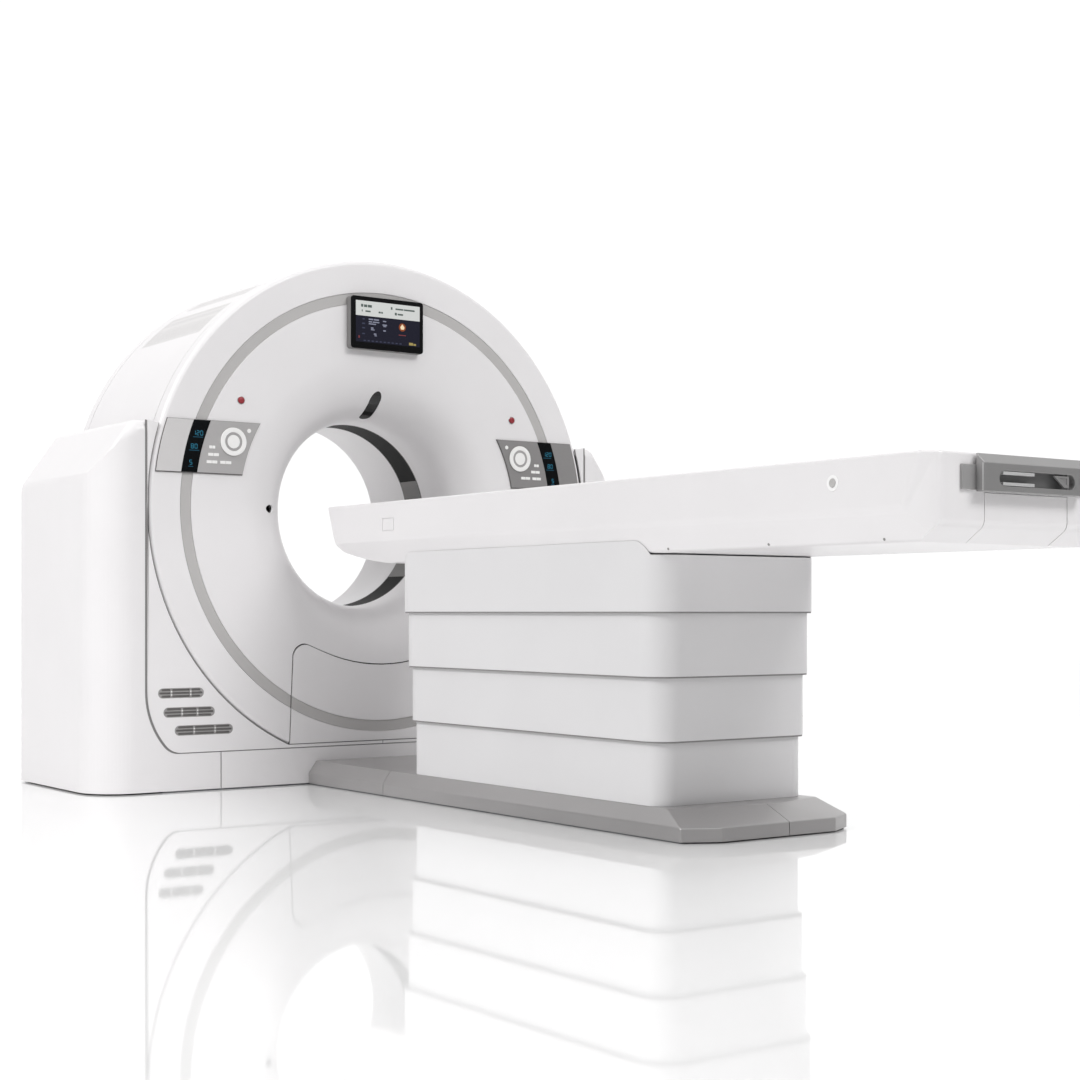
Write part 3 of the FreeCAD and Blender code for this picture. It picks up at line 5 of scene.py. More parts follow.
import bpy
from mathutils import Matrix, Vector


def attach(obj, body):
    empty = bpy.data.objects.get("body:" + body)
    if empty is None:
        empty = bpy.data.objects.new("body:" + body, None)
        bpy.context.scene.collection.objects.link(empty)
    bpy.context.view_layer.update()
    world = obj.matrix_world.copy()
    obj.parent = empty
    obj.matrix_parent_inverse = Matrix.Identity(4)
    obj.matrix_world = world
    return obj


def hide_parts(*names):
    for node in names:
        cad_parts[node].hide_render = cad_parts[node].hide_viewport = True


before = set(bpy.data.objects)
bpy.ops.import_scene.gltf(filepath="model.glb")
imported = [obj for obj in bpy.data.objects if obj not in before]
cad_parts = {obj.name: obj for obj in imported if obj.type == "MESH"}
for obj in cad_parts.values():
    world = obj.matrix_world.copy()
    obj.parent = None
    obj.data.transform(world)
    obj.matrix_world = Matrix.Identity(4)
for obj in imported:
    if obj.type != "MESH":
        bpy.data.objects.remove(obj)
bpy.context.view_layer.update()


# ---- Front dish ----
# The round middle of the front cover: one moulded shell that runs flat from the grey ring inwards and
# rolls into the bore like a bell. It is fibre-reinforced plastic with white polyurethane paint. The
# slot for the upper laser, the ports of the side lasers and the wells of the red buttons are cut in it.

def linear(colour):
    """An sRGB hex colour as linear red, green, blue and alpha."""
    parts = [int(colour[i:i + 2], 16) / 255 for i in (1, 3, 5)]
    return tuple(p / 12.92 if p <= 0.04045 else ((p + 0.055) / 1.055) ** 2.4 for p in parts) + (1.0,)


def add_node(material, kind, sockets=None, **settings):
    """Add a shader node with its settings; a socket takes a value, or a link as (node, output name)."""
    made = material.node_tree.nodes.new("ShaderNode" + kind)
    for name, value in settings.items():
        setattr(made, name, value)
    for name, value in (sockets or {}).items():
        if isinstance(value, tuple) and isinstance(value[0], bpy.types.Node):
            material.node_tree.links.new(value[0].outputs[value[1]], made.inputs[name])
        else:
            made.inputs[name].default_value = value
    return made


def blank(name):
    """A new material without nodes, and a node that gives it the object's own coordinates."""
    made = bpy.data.materials.new(name)
    made.use_nodes = True
    made.node_tree.nodes.clear()
    return made, add_node(made, "TexCoord")


def finish_of(name, light, dark, roughness, drift=0.35, grain=0.006, relief=0.00004, strength=0.3,
        metal=0.0, coat=0.0, spread=0.05, ior=1.5):
    """A satin or metal finish: a slow drift between two shades, a grain in the surface, uneven gloss."""
    made, place = blank(name)
    clouds = add_node(made, "TexNoise", {"Vector": (place, "Object"), "Scale": 1 / drift, "Detail": 3.0})
    shade = add_node(made, "Mix", {"Factor": (clouds, "Fac")}, data_type="RGBA")
    shade.inputs["A"].default_value, shade.inputs["B"].default_value = linear(dark), linear(light)
    pits = add_node(made, "TexNoise", {"Vector": (place, "Object"), "Scale": 1 / grain, "Detail": 2.0})
    gloss = add_node(made, "MapRange", {"Value": (pits, "Fac"), "To Min": roughness - spread,
            "To Max": roughness + spread})
    bumps = add_node(made, "Bump", {"Height": (pits, "Fac"), "Strength": strength, "Distance": relief})
    skin = add_node(made, "BsdfPrincipled",
        {"Base Color": (shade, "Result"), "Roughness": (gloss, "Result"), "Normal": (bumps, "Normal"),
            "Metallic": metal, "IOR": ior, "Coat Weight": coat, "Coat Roughness": 0.2})
    add_node(made, "OutputMaterial", {"Surface": (skin, "BSDF")})
    return made


# polyurethane paint, sprayed on a primed moulding: satin white with a faint orange peel, 6 mm across
white_paint = finish_of("polyurethane_paint_white", "#EFEDEE", "#E8E6E7", 0.38, coat=0.15)


def path(corners, step=radians(4)):
    """Points along a closed outline; a third number makes the way to a corner an arc, minus for clockwise."""
    points = []
    for (x0, y0, *_), (x1, y1, *turn) in zip(corners[-1:] + corners[:-1], corners):
        if turn:
            half = Vector((x1 - x0, y1 - y0)) / 2
            rise = sqrt(max(turn[0] ** 2 - half.length_squared, 0))
            across = Vector((-half.y, half.x)).normalized()
            centre = Vector((x0, y0)) + half + across * copysign(rise, turn[0])
            first, last = (atan2(y - centre.y, x - centre.x) for x, y in ((x0, y0), (x1, y1)))
            sweep = (last - first) % tau if turn[0] > 0 else -((first - last) % tau)
            count = max(2, ceil(abs(sweep) / step))
            points += [tuple(centre + abs(turn[0]) * Vector((cos(first + sweep * k / count),
                    sin(first + sweep * k / count)))) for k in range(1, count)]
        points.append((x1, y1))
    return points


def traced(name, points, closed=True):
    """A wire through the points, drawn by extruding one corner after another."""
    bpy.ops.object.select_all(action="DESELECT")
    bpy.ops.mesh.primitive_plane_add(size=0.001)
    wire = bpy.context.object
    wire.name = wire.data.name = name
    bpy.ops.object.mode_set(mode="EDIT")
    bpy.ops.mesh.select_mode(type="VERT")
    bpy.ops.mesh.select_all(action="SELECT")
    bpy.ops.mesh.merge(type="CENTER")
    places = [Vector(p) for p in points]
    bpy.ops.transform.translate(value=places[0])
    for here, there in zip(places, places[1:]):
        bpy.ops.mesh.extrude_region_move(TRANSFORM_OT_translate={"value": there - here})
    if closed:
        bpy.ops.mesh.select_all(action="DESELECT")
        bpy.ops.object.mode_set(mode="OBJECT")
        wire.data.vertices[0].select = wire.data.vertices[-1].select = True
        bpy.ops.object.mode_set(mode="EDIT")
        bpy.ops.mesh.edge_face_add()
        bpy.ops.mesh.select_all(action="SELECT")
    return wire


def spun(name, points, middle, axis, steps, closed=True):
    """Spin a section round an axis; one that starts and ends on the axis is left open."""
    piece = traced(name, points, closed)
    bpy.ops.mesh.select_all(action="SELECT")
    bpy.ops.mesh.delete(type="ONLY_FACE")
    bpy.ops.mesh.select_all(action="SELECT")
    bpy.ops.mesh.spin(steps=steps, angle=tau, center=middle, axis=axis)
    bpy.ops.mesh.select_all(action="SELECT")
    bpy.ops.mesh.remove_doubles(threshold=0.00002)
    bpy.ops.mesh.normals_make_consistent(inside=False)
    bpy.ops.object.mode_set(mode="OBJECT")
    return piece


BORE_Z = 1.0  # the height of the bore's axis


def turned(name, profile, steps=180):
    """Spin a closed profile of (depth, radius) points round the bore's axis."""
    return spun(name, [(0, depth, BORE_Z + radius) for depth, radius in profile], (0, 0, BORE_Z), (0, 1, 0),
        steps)


def slab(name, points, along):
    """A plate or a block: an outline, filled and extruded."""
    piece = traced(name, points)
    bpy.ops.mesh.edge_face_add()
    bpy.ops.mesh.extrude_region_move(TRANSFORM_OT_translate={"value": along})
    bpy.ops.mesh.select_all(action="SELECT")
    bpy.ops.mesh.normals_make_consistent(inside=False)
    bpy.ops.object.mode_set(mode="OBJECT")
    return piece


def block(low, high):
    """A plain block between two corners, to cut with."""
    (x0, y0, z0), (x1, y1, z1) = low, high
    return slab("cut", [(x0, y0, z0), (x1, y0, z0), (x1, y1, z0), (x0, y1, z0)], (0, 0, z1 - z0))


def front_slab(name, points, depth, thick, sign=1):
    """A plate drawn as seen from the front, at a depth along the bore; a sign of -1 mirrors it."""
    return slab(name, [(sign * x, depth, z) for x, z in points], (0, thick, 0))


def chosen(piece):
    """Select one piece alone and make it the active one."""
    bpy.ops.object.select_all(action="DESELECT")
    piece.select_set(True)
    bpy.context.view_layer.objects.active = piece
    return piece


def modified(piece, kind, **settings):
    """Add a modifier and apply it."""
    chosen(piece)
    bpy.ops.object.modifier_add(type=kind)
    modifier = piece.modifiers[-1]
    for name, value in settings.items():
        setattr(modifier, name, value)
    bpy.ops.object.modifier_apply(modifier=modifier.name)
    return piece


def carved(piece, *cutters):
    """Take other pieces out of a piece, and throw them away."""
    for cutter in cutters:
        modified(piece, "BOOLEAN", operation="DIFFERENCE", solver="EXACT", object=cutter)
        bpy.data.objects.remove(cutter)
    return piece


def finished(piece, material, body, slot, *replaced, angle=35):
    """Shade a piece, give it its material, and let it ride on its body."""
    chosen(piece)
    bpy.ops.object.shade_smooth_by_angle(angle=radians(angle))
    modified(piece, "WEIGHTED_NORMAL", keep_sharp=True)
    piece.data.materials.clear()
    piece.data.materials.append(material)
    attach(piece, body)
    if replaced:
        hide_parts(*replaced)
    return piece


def rod(name, start, radius, along, vertices=48):
    """A round bar from a point along a vector."""
    along = Vector(along)
    bpy.ops.object.select_all(action="DESELECT")
    bpy.ops.mesh.primitive_cylinder_add(vertices=vertices, radius=radius, depth=along.length,
        location=Vector(start) + along / 2, rotation=along.to_track_quat("Z", "Y").to_euler())
    bar = bpy.context.object
    bar.name = bar.data.name = name
    bpy.ops.object.transform_apply(location=True, rotation=True, scale=True)
    return bar


def access_edge(grow):
    """The wave-topped outline of the lower access cover, grown by a gap."""
    bowl = ((0.245 + grow) ** 2 + 0.048 ** 2) / (2 * 0.048)
    left = [(-0.389, 0.15), (-0.376, 0.455), (-0.33, 0.508, -0.05), (-0.30875, 0.504, -0.05), (-0.245, 0.478)]
    edge = [(x - grow, z + (grow if k else 0), *turn) for k, (x, z, *turn) in enumerate(left)]
    turns = [c[2] if len(c) == 3 else None for c in edge] + [bowl]
    edge.append((0, 0.43 + grow, bowl))
    for (x, z, *_), turn in zip(edge[-2::-1], turns[:0:-1]):
        edge.append((-x, z, turn) if turn else (-x, z))
    return path(edge)


FRONT = -0.34  # how far forward the covers' flat face is
ACCESS_SEAM = 0.0045
STOP_X, STOP_Z = 0.585, 1.38
BELL = [(-0.112 - 0.228 * cos(a), 0.578 - 0.228 * sin(a)) for a in (radians(k * 3) for k in range(31))]
BELL_BACK = [(-0.112 - 0.22 * cos(a), 0.578 - 0.22 * sin(a))
    for a in (radians(90 - k * 6) for k in range(16))]
dish = turned("front_dish_moulding", [(-0.335, 0.7972), (-0.335, 0.777), (-0.3385, 0.777),
        (-0.3396, 0.7766), (FRONT, 0.7755)] + BELL + BELL_BACK + [(-0.332, 0.7972)])


def slot_edge(half, ends):
    """The outline of the upper laser's slot, seen from above, drawn in at its ends."""
    near, far = -0.185 - ends, -0.305 + ends
    return path([(-half, far + half), (0, far, half), (half, far + half, half), (half, near - half),
            (0, near, half), (-half, near - half, half)], radians(12))


carved(dish, front_slab("cut", access_edge(ACCESS_SEAM), -0.345, 0.03),
    slab("cut", [(x, y, 1.05) for x, y in slot_edge(0.024, 0)], (0, 0, 0.7)),
    rod("cut", (-0.72, -0.3, 1.0), 0.015, (1.44, 0, 0)),
    *[rod("cut", (x, -0.345, STOP_Z), 0.0123, (0, 0.02, 0)) for x in (-STOP_X, STOP_X)])
finished(dish, white_paint, "frame", "white_cover", "front_dish")

# ---- Front rim ----
# The outer band of the front cover, from the grey ring to the arch. It wraps round the arch's edge in a
# full bend, where the sheet of the roof meets it in a seam. It is moulded and painted like the dish.
EDGE_ROUND = [(-0.322 - 0.018 * sin(a), 0.919 + 0.018 * cos(a)) for a in (radians(k * 9) for k in range(11))]
rim = turned("front_rim_moulding", [(-0.28, 0.929), (-0.28, 0.9364), (-0.2806, 0.937)] + EDGE_ROUND
    + [(FRONT, 0.8195), (-0.3396, 0.8184), (-0.3385, 0.818), (-0.335, 0.818), (-0.335, 0.7978),
        (-0.332, 0.7978), (-0.332, 0.915), (-0.32, 0.929)])
carved(rim, block((-1.2, -0.4, -0.1), (1.2, -0.2, 0.15)),
    front_slab("cut", access_edge(ACCESS_SEAM), -0.345, 0.03))
finished(rim, white_paint, "frame", "white_cover", "front_rim")

# ---- Accent ring ----
# The grey ring round the dish: a flat extrusion, rolled to a circle and clipped in the groove between
# dish and rim. It is broken where the seam of the access cover crosses it.
# anodised or painted aluminium with a fine satin grain, a shade darker than the panels
ring_grey = finish_of("satin_lacquer_ring_grey", "#BFBDBC", "#B7B5B4", 0.42, drift=0.2, grain=0.003)
ring_trim = turned("accent_ring_trim", [(-0.335, 0.7784), (-0.3376, 0.7784), (-0.338, 0.7788),
        (-0.338, 0.8162), (-0.3376, 0.8166), (-0.335, 0.8166)])
seam_frame = front_slab("cut", access_edge(ACCESS_SEAM), -0.345, 0.03)
carved(seam_frame, front_slab("cut", access_edge(0), -0.36, 0.06))
carved(ring_trim, seam_frame)
finished(ring_trim, ring_grey, "frame", "accent_grey", "accent_ring")

# ---- Access cover ----
# The wave-topped hatch low in the front cover, held by hidden catches. It lifts off for service, so an
# even seam runs all round it. The accent ring crosses it in its own groove.

def bevelled(piece, width, segments=3, angle=40):
    """Round the edges that are sharper than an angle."""
    return modified(piece, "BEVEL", width=width, segments=segments, limit_method="ANGLE",
        angle_limit=radians(angle), harden_normals=False)


hatch = front_slab("access_hatch", access_edge(0), FRONT, 0.008)
carved(hatch, turned("cut", [(-0.35, 0.777), (-0.342, 0.777), (-0.335, 0.777), (-0.335, 0.818),
        (-0.35, 0.818)]))
bevelled(hatch, 0.0012, 2)
lip = front_slab("access_lip", access_edge(0.0042), -0.3335, 0.0015)
finished(hatch, white_paint, "frame", "white_cover", "access_cover")
# the rubber seal that closes the seam from behind: matt, in a dark grey that also paints the shade deep in
# the seam
shade_line_dark_grey = finish_of("painted_shade_line_dark_grey", "#454343", "#3C3A3A", 0.7, grain=0.002)
finished(lip, shade_line_dark_grey, "frame", "white_cover")

# ---- Corner covers ----
# The two plates that fill the front insert beside the disc. Each follows the arch on one side and the
# upright seam and its swept lower corner on the other, and has three vent rows pierced in it.
VENT_ROWS = [(0.9, 0.728, 0.345), (0.88, 0.686, 0.278), (0.838, 0.616, 0.214)]


def corner_edge(gap):
    """A corner cover's outline, a gap inside its neighbours, on the left side."""
    side, foot, low, high, disc = -(0.948 - 2.6 * gap), 0.133 + gap, 0.15 - gap, 1.282, 0.937 + gap
    return path([(side, foot + 0.21777), (side + 0.06972, foot + 0.02622, 0.298),
            (side + 0.12595, foot, 0.0734), (-gap / 2, foot), (-gap / 2, low),
            (-sqrt(disc ** 2 - (BORE_Z - low) ** 2), low), (-sqrt(disc ** 2 - (high - BORE_Z) ** 2), high,
            -disc), (side, 1.29)], radians(3))


def stadium(low, high, middle, half):
    """A level slot with round ends."""
    return path([(high - half, middle - half), (high, middle, half), (high - half, middle + half, half),
            (low + half, middle + half), (low, middle, half), (low + half, middle - half, half)],
        radians(15))


def vent_holes(sign):
    """The cutters for the three vent rows of a side."""
    return [front_slab("cut", stadium(-far, -near, up, 0.0175), -0.35, 0.03, sign)
        for far, near, up in VENT_ROWS]


# the seal behind these seams is the same rubber, moulded in a lighter grey that also paints the shade in the
# seams
shade_line_light_grey = finish_of("painted_shade_line_light_grey", "#8A8888", "#807E7E", 0.7, grain=0.002)
for side, sign in (("left", 1), ("right", -1)):
    plate = front_slab(f"corner_plate_{side}", corner_edge(0.0035), FRONT, 0.008, sign)
    carved(plate, *vent_holes(sign))
    bevelled(plate, 0.0012, 2)
    finished(plate, white_paint, "frame", "white_cover", f"corner_cover_{side}")
    # the seal's light grey paints the shade in the seam round the plate
    lip = front_slab(f"corner_seal_{side}", corner_edge(0.0004), -0.3372, 0.0015, sign)
    carved(lip, *vent_holes(sign))
    finished(lip, shade_line_light_grey, "frame", "white_cover")

# ---- Vent grilles ----
# Moulded grey inserts that clip into the corner covers from behind: three rows of slots each, with
# light bridges between them and a dark baffle behind.
# acrylonitrile butadiene styrene, moulded through in grey, with a fine spark-eroded texture
vent_plastic = finish_of("moulded_abs_vent_grey", "#A3A1A0", "#989695", 0.55, grain=0.0015)
bridge_white = finish_of("moulded_abs_white", "#E2E1E0", "#DAD9D8", 0.5, grain=0.0015)
baffle_grey = finish_of("vent_foam_dark_grey", "#7E7C7B", "#737170", 0.9, grain=0.002, relief=0.0003)


def joined(name, group):
    """Several like pieces as one."""
    bpy.ops.object.select_all(action="DESELECT")
    for piece in group:
        piece.select_set(True)
    bpy.context.view_layer.objects.active = group[0]
    bpy.ops.object.join()
    group[0].name = group[0].data.name = name
    return group[0]


BREAKS = [(0.29, 0.71), (0.36, 0.66), (0.33, 0.69)]
for side, sign in (("left", 1), ("right", -1)):
    grilles, pins, baffles = [], [], []
    for (far, near, up), breaks in zip(VENT_ROWS, BREAKS):
        long = far - near
        grille = front_slab("grille", stadium(-far + 0.0003, -near - 0.0003, up, 0.0172), -0.339, 0.004, sign)
        cuts = [-far + 0.004] + [-far + long * b for b in breaks] + [-near - 0.004]
        for level, inset in ((0.011, 0.009), (0, 0.001), (-0.011, 0.009)):
            for k, (start, end) in enumerate(zip(cuts, cuts[1:])):
                first = start + (inset if k == 0 else 0.003)
                last = end - (inset if k == 2 else 0.003)
                carved(grille, front_slab("cut", stadium(first, last, up + level, 0.0037), -0.35, 0.03, sign))
        grilles.append(bevelled(grille, 0.0004, 1))
        for k, at in enumerate(cuts[1:-1]):
            for level in (0.0055, -0.0055):
                pins.append(rod("pin", (sign * at, -0.3398, up + level), 0.0028, (0, 0.003, 0), 16))
        baffles.append(front_slab("baffle", stadium(-far + 0.001, -near - 0.001, up, 0.0165), -0.3348,
                0.0012, sign))
    for name, group, material in (("vent_grille", grilles, vent_plastic), ("vent_pins", pins, bridge_white),
            ("vent_baffle", baffles, baffle_grey)):
        finished(joined(f"{name}_{side}", group), material, "frame", "vent_grey",
            *(["vent_grilles"] if group is grilles else []))

# ---- Side covers ----
# The tall covers at both sides of the gantry: deep shells with broad rounded edges that lean in at the
# shoulder. They come off sideways on hidden hooks. They are painted like the front.

def recast(node, name, width, segments=2, angle=40):
    """A copy of a frame node with its doubles merged, flat faces rejoined and sharp edges rounded."""
    piece = bpy.data.objects.new(name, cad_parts[node].data.copy())
    piece.data.name = name
    bpy.context.scene.collection.objects.link(piece)
    chosen(piece)
    bpy.ops.mesh.customdata_custom_splitnormals_clear()
    bpy.ops.object.mode_set(mode="EDIT")
    bpy.ops.mesh.select_all(action="SELECT")
    bpy.ops.mesh.remove_doubles(threshold=0.00002)
    bpy.ops.mesh.dissolve_limited(angle_limit=radians(0.3))
    bpy.ops.object.mode_set(mode="OBJECT")
    return bevelled(piece, width, segments, angle) if width else piece


# the covers end a little above the floor, which leaves a dark line all round
floor_line = (-1.3, -0.6, -0.01), (1.3, 0.6, 0.005)
for side in ("left", "right"):
    shell = recast(f"side_cover_{side}", f"side_shell_{side}", 0.0012)
    carved(shell, block(*floor_line))
    finished(shell, white_paint, "frame", "white_cover", f"side_cover_{side}")

# ---- Plinth cover ----
# The low board across the front's foot, between the seams at both sides. It pulls off forwards.
foot_board = recast("plinth_cover", "plinth_board", 0.001)
carved(foot_board, block(*floor_line), *[block((x - 0.003, -0.5, -0.01), (x + 0.003, 0.3, 0.19))
        for x in (-0.6632, 0.6632)])
finished(foot_board, white_paint, "frame", "white_cover", "plinth_cover")

# ---- Roof ----
# The curved sheet over the arch, with four air outlets let into it. It is thermoformed and painted.
roof = turned("roof_sheet", [(-0.277, 0.931), (-0.277, 0.9364), (-0.2766, 0.937), (0.3366, 0.937),
        (0.337, 0.9364), (0.337, 0.931), (0.3397, 0.931), (0.3397, 0.929), (-0.2797, 0.929),
        (-0.2797, 0.931)])
carved(roof, block((-1, -0.4, -0.2), (1, 0.6, 1.23)))


def outlet_patch(name, sign, first, last, grow, outer):
    """A patch of the roof's own curve between two angles, for an outlet or its recess."""
    spots = [radians(first + (last - first) * k / 24) for k in range(25)]
    rows = ([(sign * outer * sin(a), BORE_Z + outer * cos(a)) for a in spots]
        + [(sign * 0.9343 * sin(a), BORE_Z + 0.9343 * cos(a)) for a in reversed(spots)])
    return front_slab(name, rows, -0.23 - grow, 0.505 + 2 * grow)


# the outlets: perforated steel, 3 mm holes on a 5 mm pitch, coated light grey, in the roof's own bend
perforated, place = blank("perforated_steel_light_grey")
holes = add_node(perforated, "TexVoronoi", {"Vector": (place, "Object"), "Scale": 200.0, "Randomness": 0.0})
punched = add_node(perforated, "MapRange", {"Value": (holes, "Distance"), "From Min": 0.28, "From Max": 0.34})
# the holes are a darker grey: painted shade seen through them
shade = add_node(perforated, "Mix", {"Factor": (punched, "Result")}, data_type="RGBA")
shade.inputs["A"].default_value, shade.inputs["B"].default_value = linear("#B2B0B0"), linear("#DCDADA")
edges = add_node(perforated, "Bump", {"Height": (punched, "Result"), "Strength": 0.4, "Distance": 0.0006})
sheet = add_node(perforated, "BsdfPrincipled", {"Base Color": (shade, "Result"), "Roughness": 0.5,
        "Normal": (edges, "Normal")})
add_node(perforated, "OutputMaterial", {"Surface": (sheet, "BSDF")})
OUTLETS = [(28.6, 33.4), (37.2, 48.0)]
for side, sign in (("left", -1), ("right", 1)):
    for number, (first, last) in enumerate(OUTLETS, start=1):
        carved(roof, outlet_patch("cut", sign, first, last, 0.0012, 0.945))
        outlet = outlet_patch(f"roof_outlet_{side}_{number}", sign, first, last, 0, 0.9368)
        finished(bevelled(outlet, 0.0006, 1, 60), perforated, "frame", "vent_grey")
finished(roof, white_paint, "frame", "white_cover", "roof_cover")

# ---- Rear cover ----
# The flat back of the gantry, in two leaves that meet under the bore, with the mouth of the tunnel in it.
back = recast("rear_cover", "rear_panel", 0.0012)
carved(back, block(*floor_line), block((-0.0012, 0.3975, 0.0), (0.0012, 0.4015, 0.62)),
    block((-0.9, 0.3975, 0.1488), (0.9, 0.4015, 0.1512)))
finished(back, white_paint, "frame", "white_cover", "rear_cover")

# ---- Bore ----
# The tunnel the patient lies in: a short liner in front, the thin dark window that the fan of rays
# passes, and the long liner that flares out over the rear cover. All are smooth, to be wiped clean.
liner = turned("bore_liner_front_tube", [(-0.1115, 0.3502), (-0.112, 0.3507), (-0.112, 0.355),
        (-0.044, 0.355), (-0.044, 0.3507), (-0.0445, 0.3502)])
finished(liner, white_paint, "frame", "white_cover", "bore_liner_front")
FLARE = [(0.3753 + 0.03 * sin(a), 0.408 - 0.03 * cos(a)) for a in (radians(k * 6) for k in range(16))]
FLARE_BACK = [(0.3753 + 0.025 * sin(a), 0.408 - 0.025 * cos(a))
    for a in (radians(90 - k * 9) for k in range(11))]
tunnel = turned("bore_liner_rear_tube", [(0.044, 0.3507), (0.0445, 0.3502)] + FLARE + FLARE_BACK
    + [(0.044, 0.355)])
finished(tunnel, white_paint, "frame", "white_cover", "bore_liner_rear")

# polyester film over the window: dark and etched against glare. It laps over both liners' ends by 16 mm
# and is bonded to them with a grey margin.
film = finish_of("polyester_film_smoke", "#0F0E0E", "#0A0909", 0.65, drift=0.1, grain=0.004, relief=0.00001,
    ior=1.35)
margin = finish_of("bonded_film_margin_grey", "#7F7D7C", "#777574", 0.5, drift=0.1, grain=0.004)
window = turned("scan_window_film", [(-0.06, 0.3498), (0, 0.3498), (0.06, 0.3498), (0.06, 0.3501),
        (-0.06, 0.3501)])
finished(window, film, "frame", "scan_film", "scan_window")
for name, start, end in (("scan_margin_front", -0.065, -0.0603), ("scan_margin_rear", 0.0603, 0.065)):
    edge = turned(name, [(start, 0.3498), ((start + end) / 2, 0.3498), (end, 0.3498), (end, 0.3501),
            (start, 0.3501)])
    finished(edge, margin, "frame", "scan_film")
# at both sides, from about 40° below the bore's axis to 25° above it, a grey layer lies over the film, which
# shows lighter there
side_layer = turned("scan_window_side_layer", [(-0.0598, 0.3494), (0, 0.3494), (0.0598, 0.3494), (0.0598, 0.3497),
        (-0.0598, 0.3497)])
for low, high in ((0.5, 0.768), (1.148, 1.5)):
    carved(side_layer, block((-0.5, -0.1, low), (0.5, 0.1, high)))
finished(side_layer, margin, "frame", "scan_film")

# ---- Laser windows ----
# Dark filter glass over the positioning lasers: a long curved pane above the bore and a small round
# port at each side. They are polished acrylic, nearly black from outside.
# cast acrylic, dyed dark red-brown: glossy, with fine wiping marks
dark_acrylic = finish_of("cast_acrylic_filter", "#0E0C0D", "#0A0809", 0.1, drift=0.05, grain=0.01,
    relief=0.000005, spread=0.03, ior=1.49)
arcs = [[(-ahead, 1.578 - sqrt(radius ** 2 - (ahead - 0.112) ** 2)) for ahead in spots]
    for radius, spots in ((0.2272, [0.18 + 0.13 * k / 24 for k in range(25)]),
        (0.2232, [0.31 - 0.13 * k / 24 for k in range(25)]))]
pane = slab("laser_pane_top", [(-0.03, y, z) for y, z in arcs[0] + arcs[1]], (0.06, 0, 0))
shape = slab("cut", [(x, y, 1.2) for x, y in slot_edge(0.0237, 0.0003)], (0, 0, 0.5))
modified(pane, "BOOLEAN", operation="INTERSECT", solver="EXACT", object=shape)
bpy.data.objects.remove(shape)
ports = [rod("port", (x, -0.3, 1.0), 0.0147, (copysign(0.008, x), 0, 0), 40) for x in (-0.4522, 0.4522)]
panes = joined("laser_panes", [bevelled(pane, 0.0004, 1)] + [bevelled(port, 0.0006, 2) for port in ports])
finished(panes, dark_acrylic, "frame", "black_glass", "laser_windows")

# ---- Control panels ----
# A keypad at each side of the front: a thin plate that follows the circles of the dish, in light grey
# outside and mid grey inside on the left and all in a darker grey, painted shade, on the right, with a
# black read-out stripe in line with the accent ring between them.
# polycarbonate keypad film, printed from behind: satin, in two greys, and a darker grey for painted shade on
# the right
keypad_mid = finish_of("polycarbonate_film_mid_grey", "#B2B0B0", "#ACAAAA", 0.4, drift=0.1, grain=0.002)
keypad_light = finish_of("polycarbonate_film_light_grey", "#D4D2D2", "#CECCCC", 0.4, drift=0.1, grain=0.002)
# the darker grey covers both bands of the right keypad: painted shade on that side of the front
keypad_shade_grey = finish_of("polycarbonate_film_painted_shade_grey", "#8E8C8C", "#888686", 0.4, drift=0.1, grain=0.002)
readout_black = finish_of("acrylic_display_black", "#0E1113", "#0A0C0E", 0.1, drift=0.05, grain=0.01,
    relief=0.000005, spread=0.03, ior=1.49)
# a dark grey that paints the shadow round the keypads' edges
backing_shadow_grey = finish_of("painted_shadow_backing_grey", "#6C6A6A", "#625F5F", 0.6, drift=0.1, grain=0.002, ior=1.41)
key_white = finish_of("silicone_key_white", "#F8F7F6", "#F2F1F0", 0.5, drift=0.05, grain=0.002, ior=1.41)
groove_grey = finish_of("silicone_groove_grey", "#AFADAD", "#A5A3A3", 0.5, drift=0.05, grain=0.002, ior=1.41)


def glowing(name, colour):
    """A display segment: its own light, a little uneven, behind dark glass."""
    made, place = blank(name)
    dots = add_node(made, "TexNoise", {"Vector": (place, "Object"), "Scale": 900.0})
    level = add_node(made, "MapRange", {"Value": (dots, "Fac"), "To Min": 0.8, "To Max": 1.2})
    lit = add_node(made, "BsdfPrincipled",
        {"Base Color": linear("#060606"), "Emission Color": linear(colour),
            "Emission Strength": (level, "Result"), "Roughness": 0.2})
    add_node(made, "OutputMaterial", {"Surface": (lit, "BSDF")})
    return made


digit_blue = glowing("display_segment_blue", "#2F7B96")
digit_dim = glowing("display_segment_dim_blue", "#1F4C60")


def band(high, low, outer, inner):
    """A level-topped band between two circles about the bore."""
    def point(radius, height):
        return -sqrt(radius ** 2 - (height - BORE_Z) ** 2), height
    return path([point(inner, high), (*point(inner, low), inner), point(outer, low),
            (*point(outer, high), -outer)], radians(2))


def tile(name, x, z, wide, tall, front, thick, round_off=0.0):
    """A small flat bar that faces the front."""
    a, b, c, d = x - wide / 2, x + wide / 2, z - tall / 2, z + tall / 2
    r = min(round_off, tall / 2 - 0.00005, wide / 2 - 0.00005)
    corners = ([(b - r, c), (b, c + r, r), (b, d - r), (b - r, d, r), (a + r, d), (a, d - r, r), (a, c + r),
            (a + r, c, r)] if r > 0 else [(a, c), (b, c), (b, d), (a, d)])
    return front_slab(name, path(corners, radians(22)), front, thick)


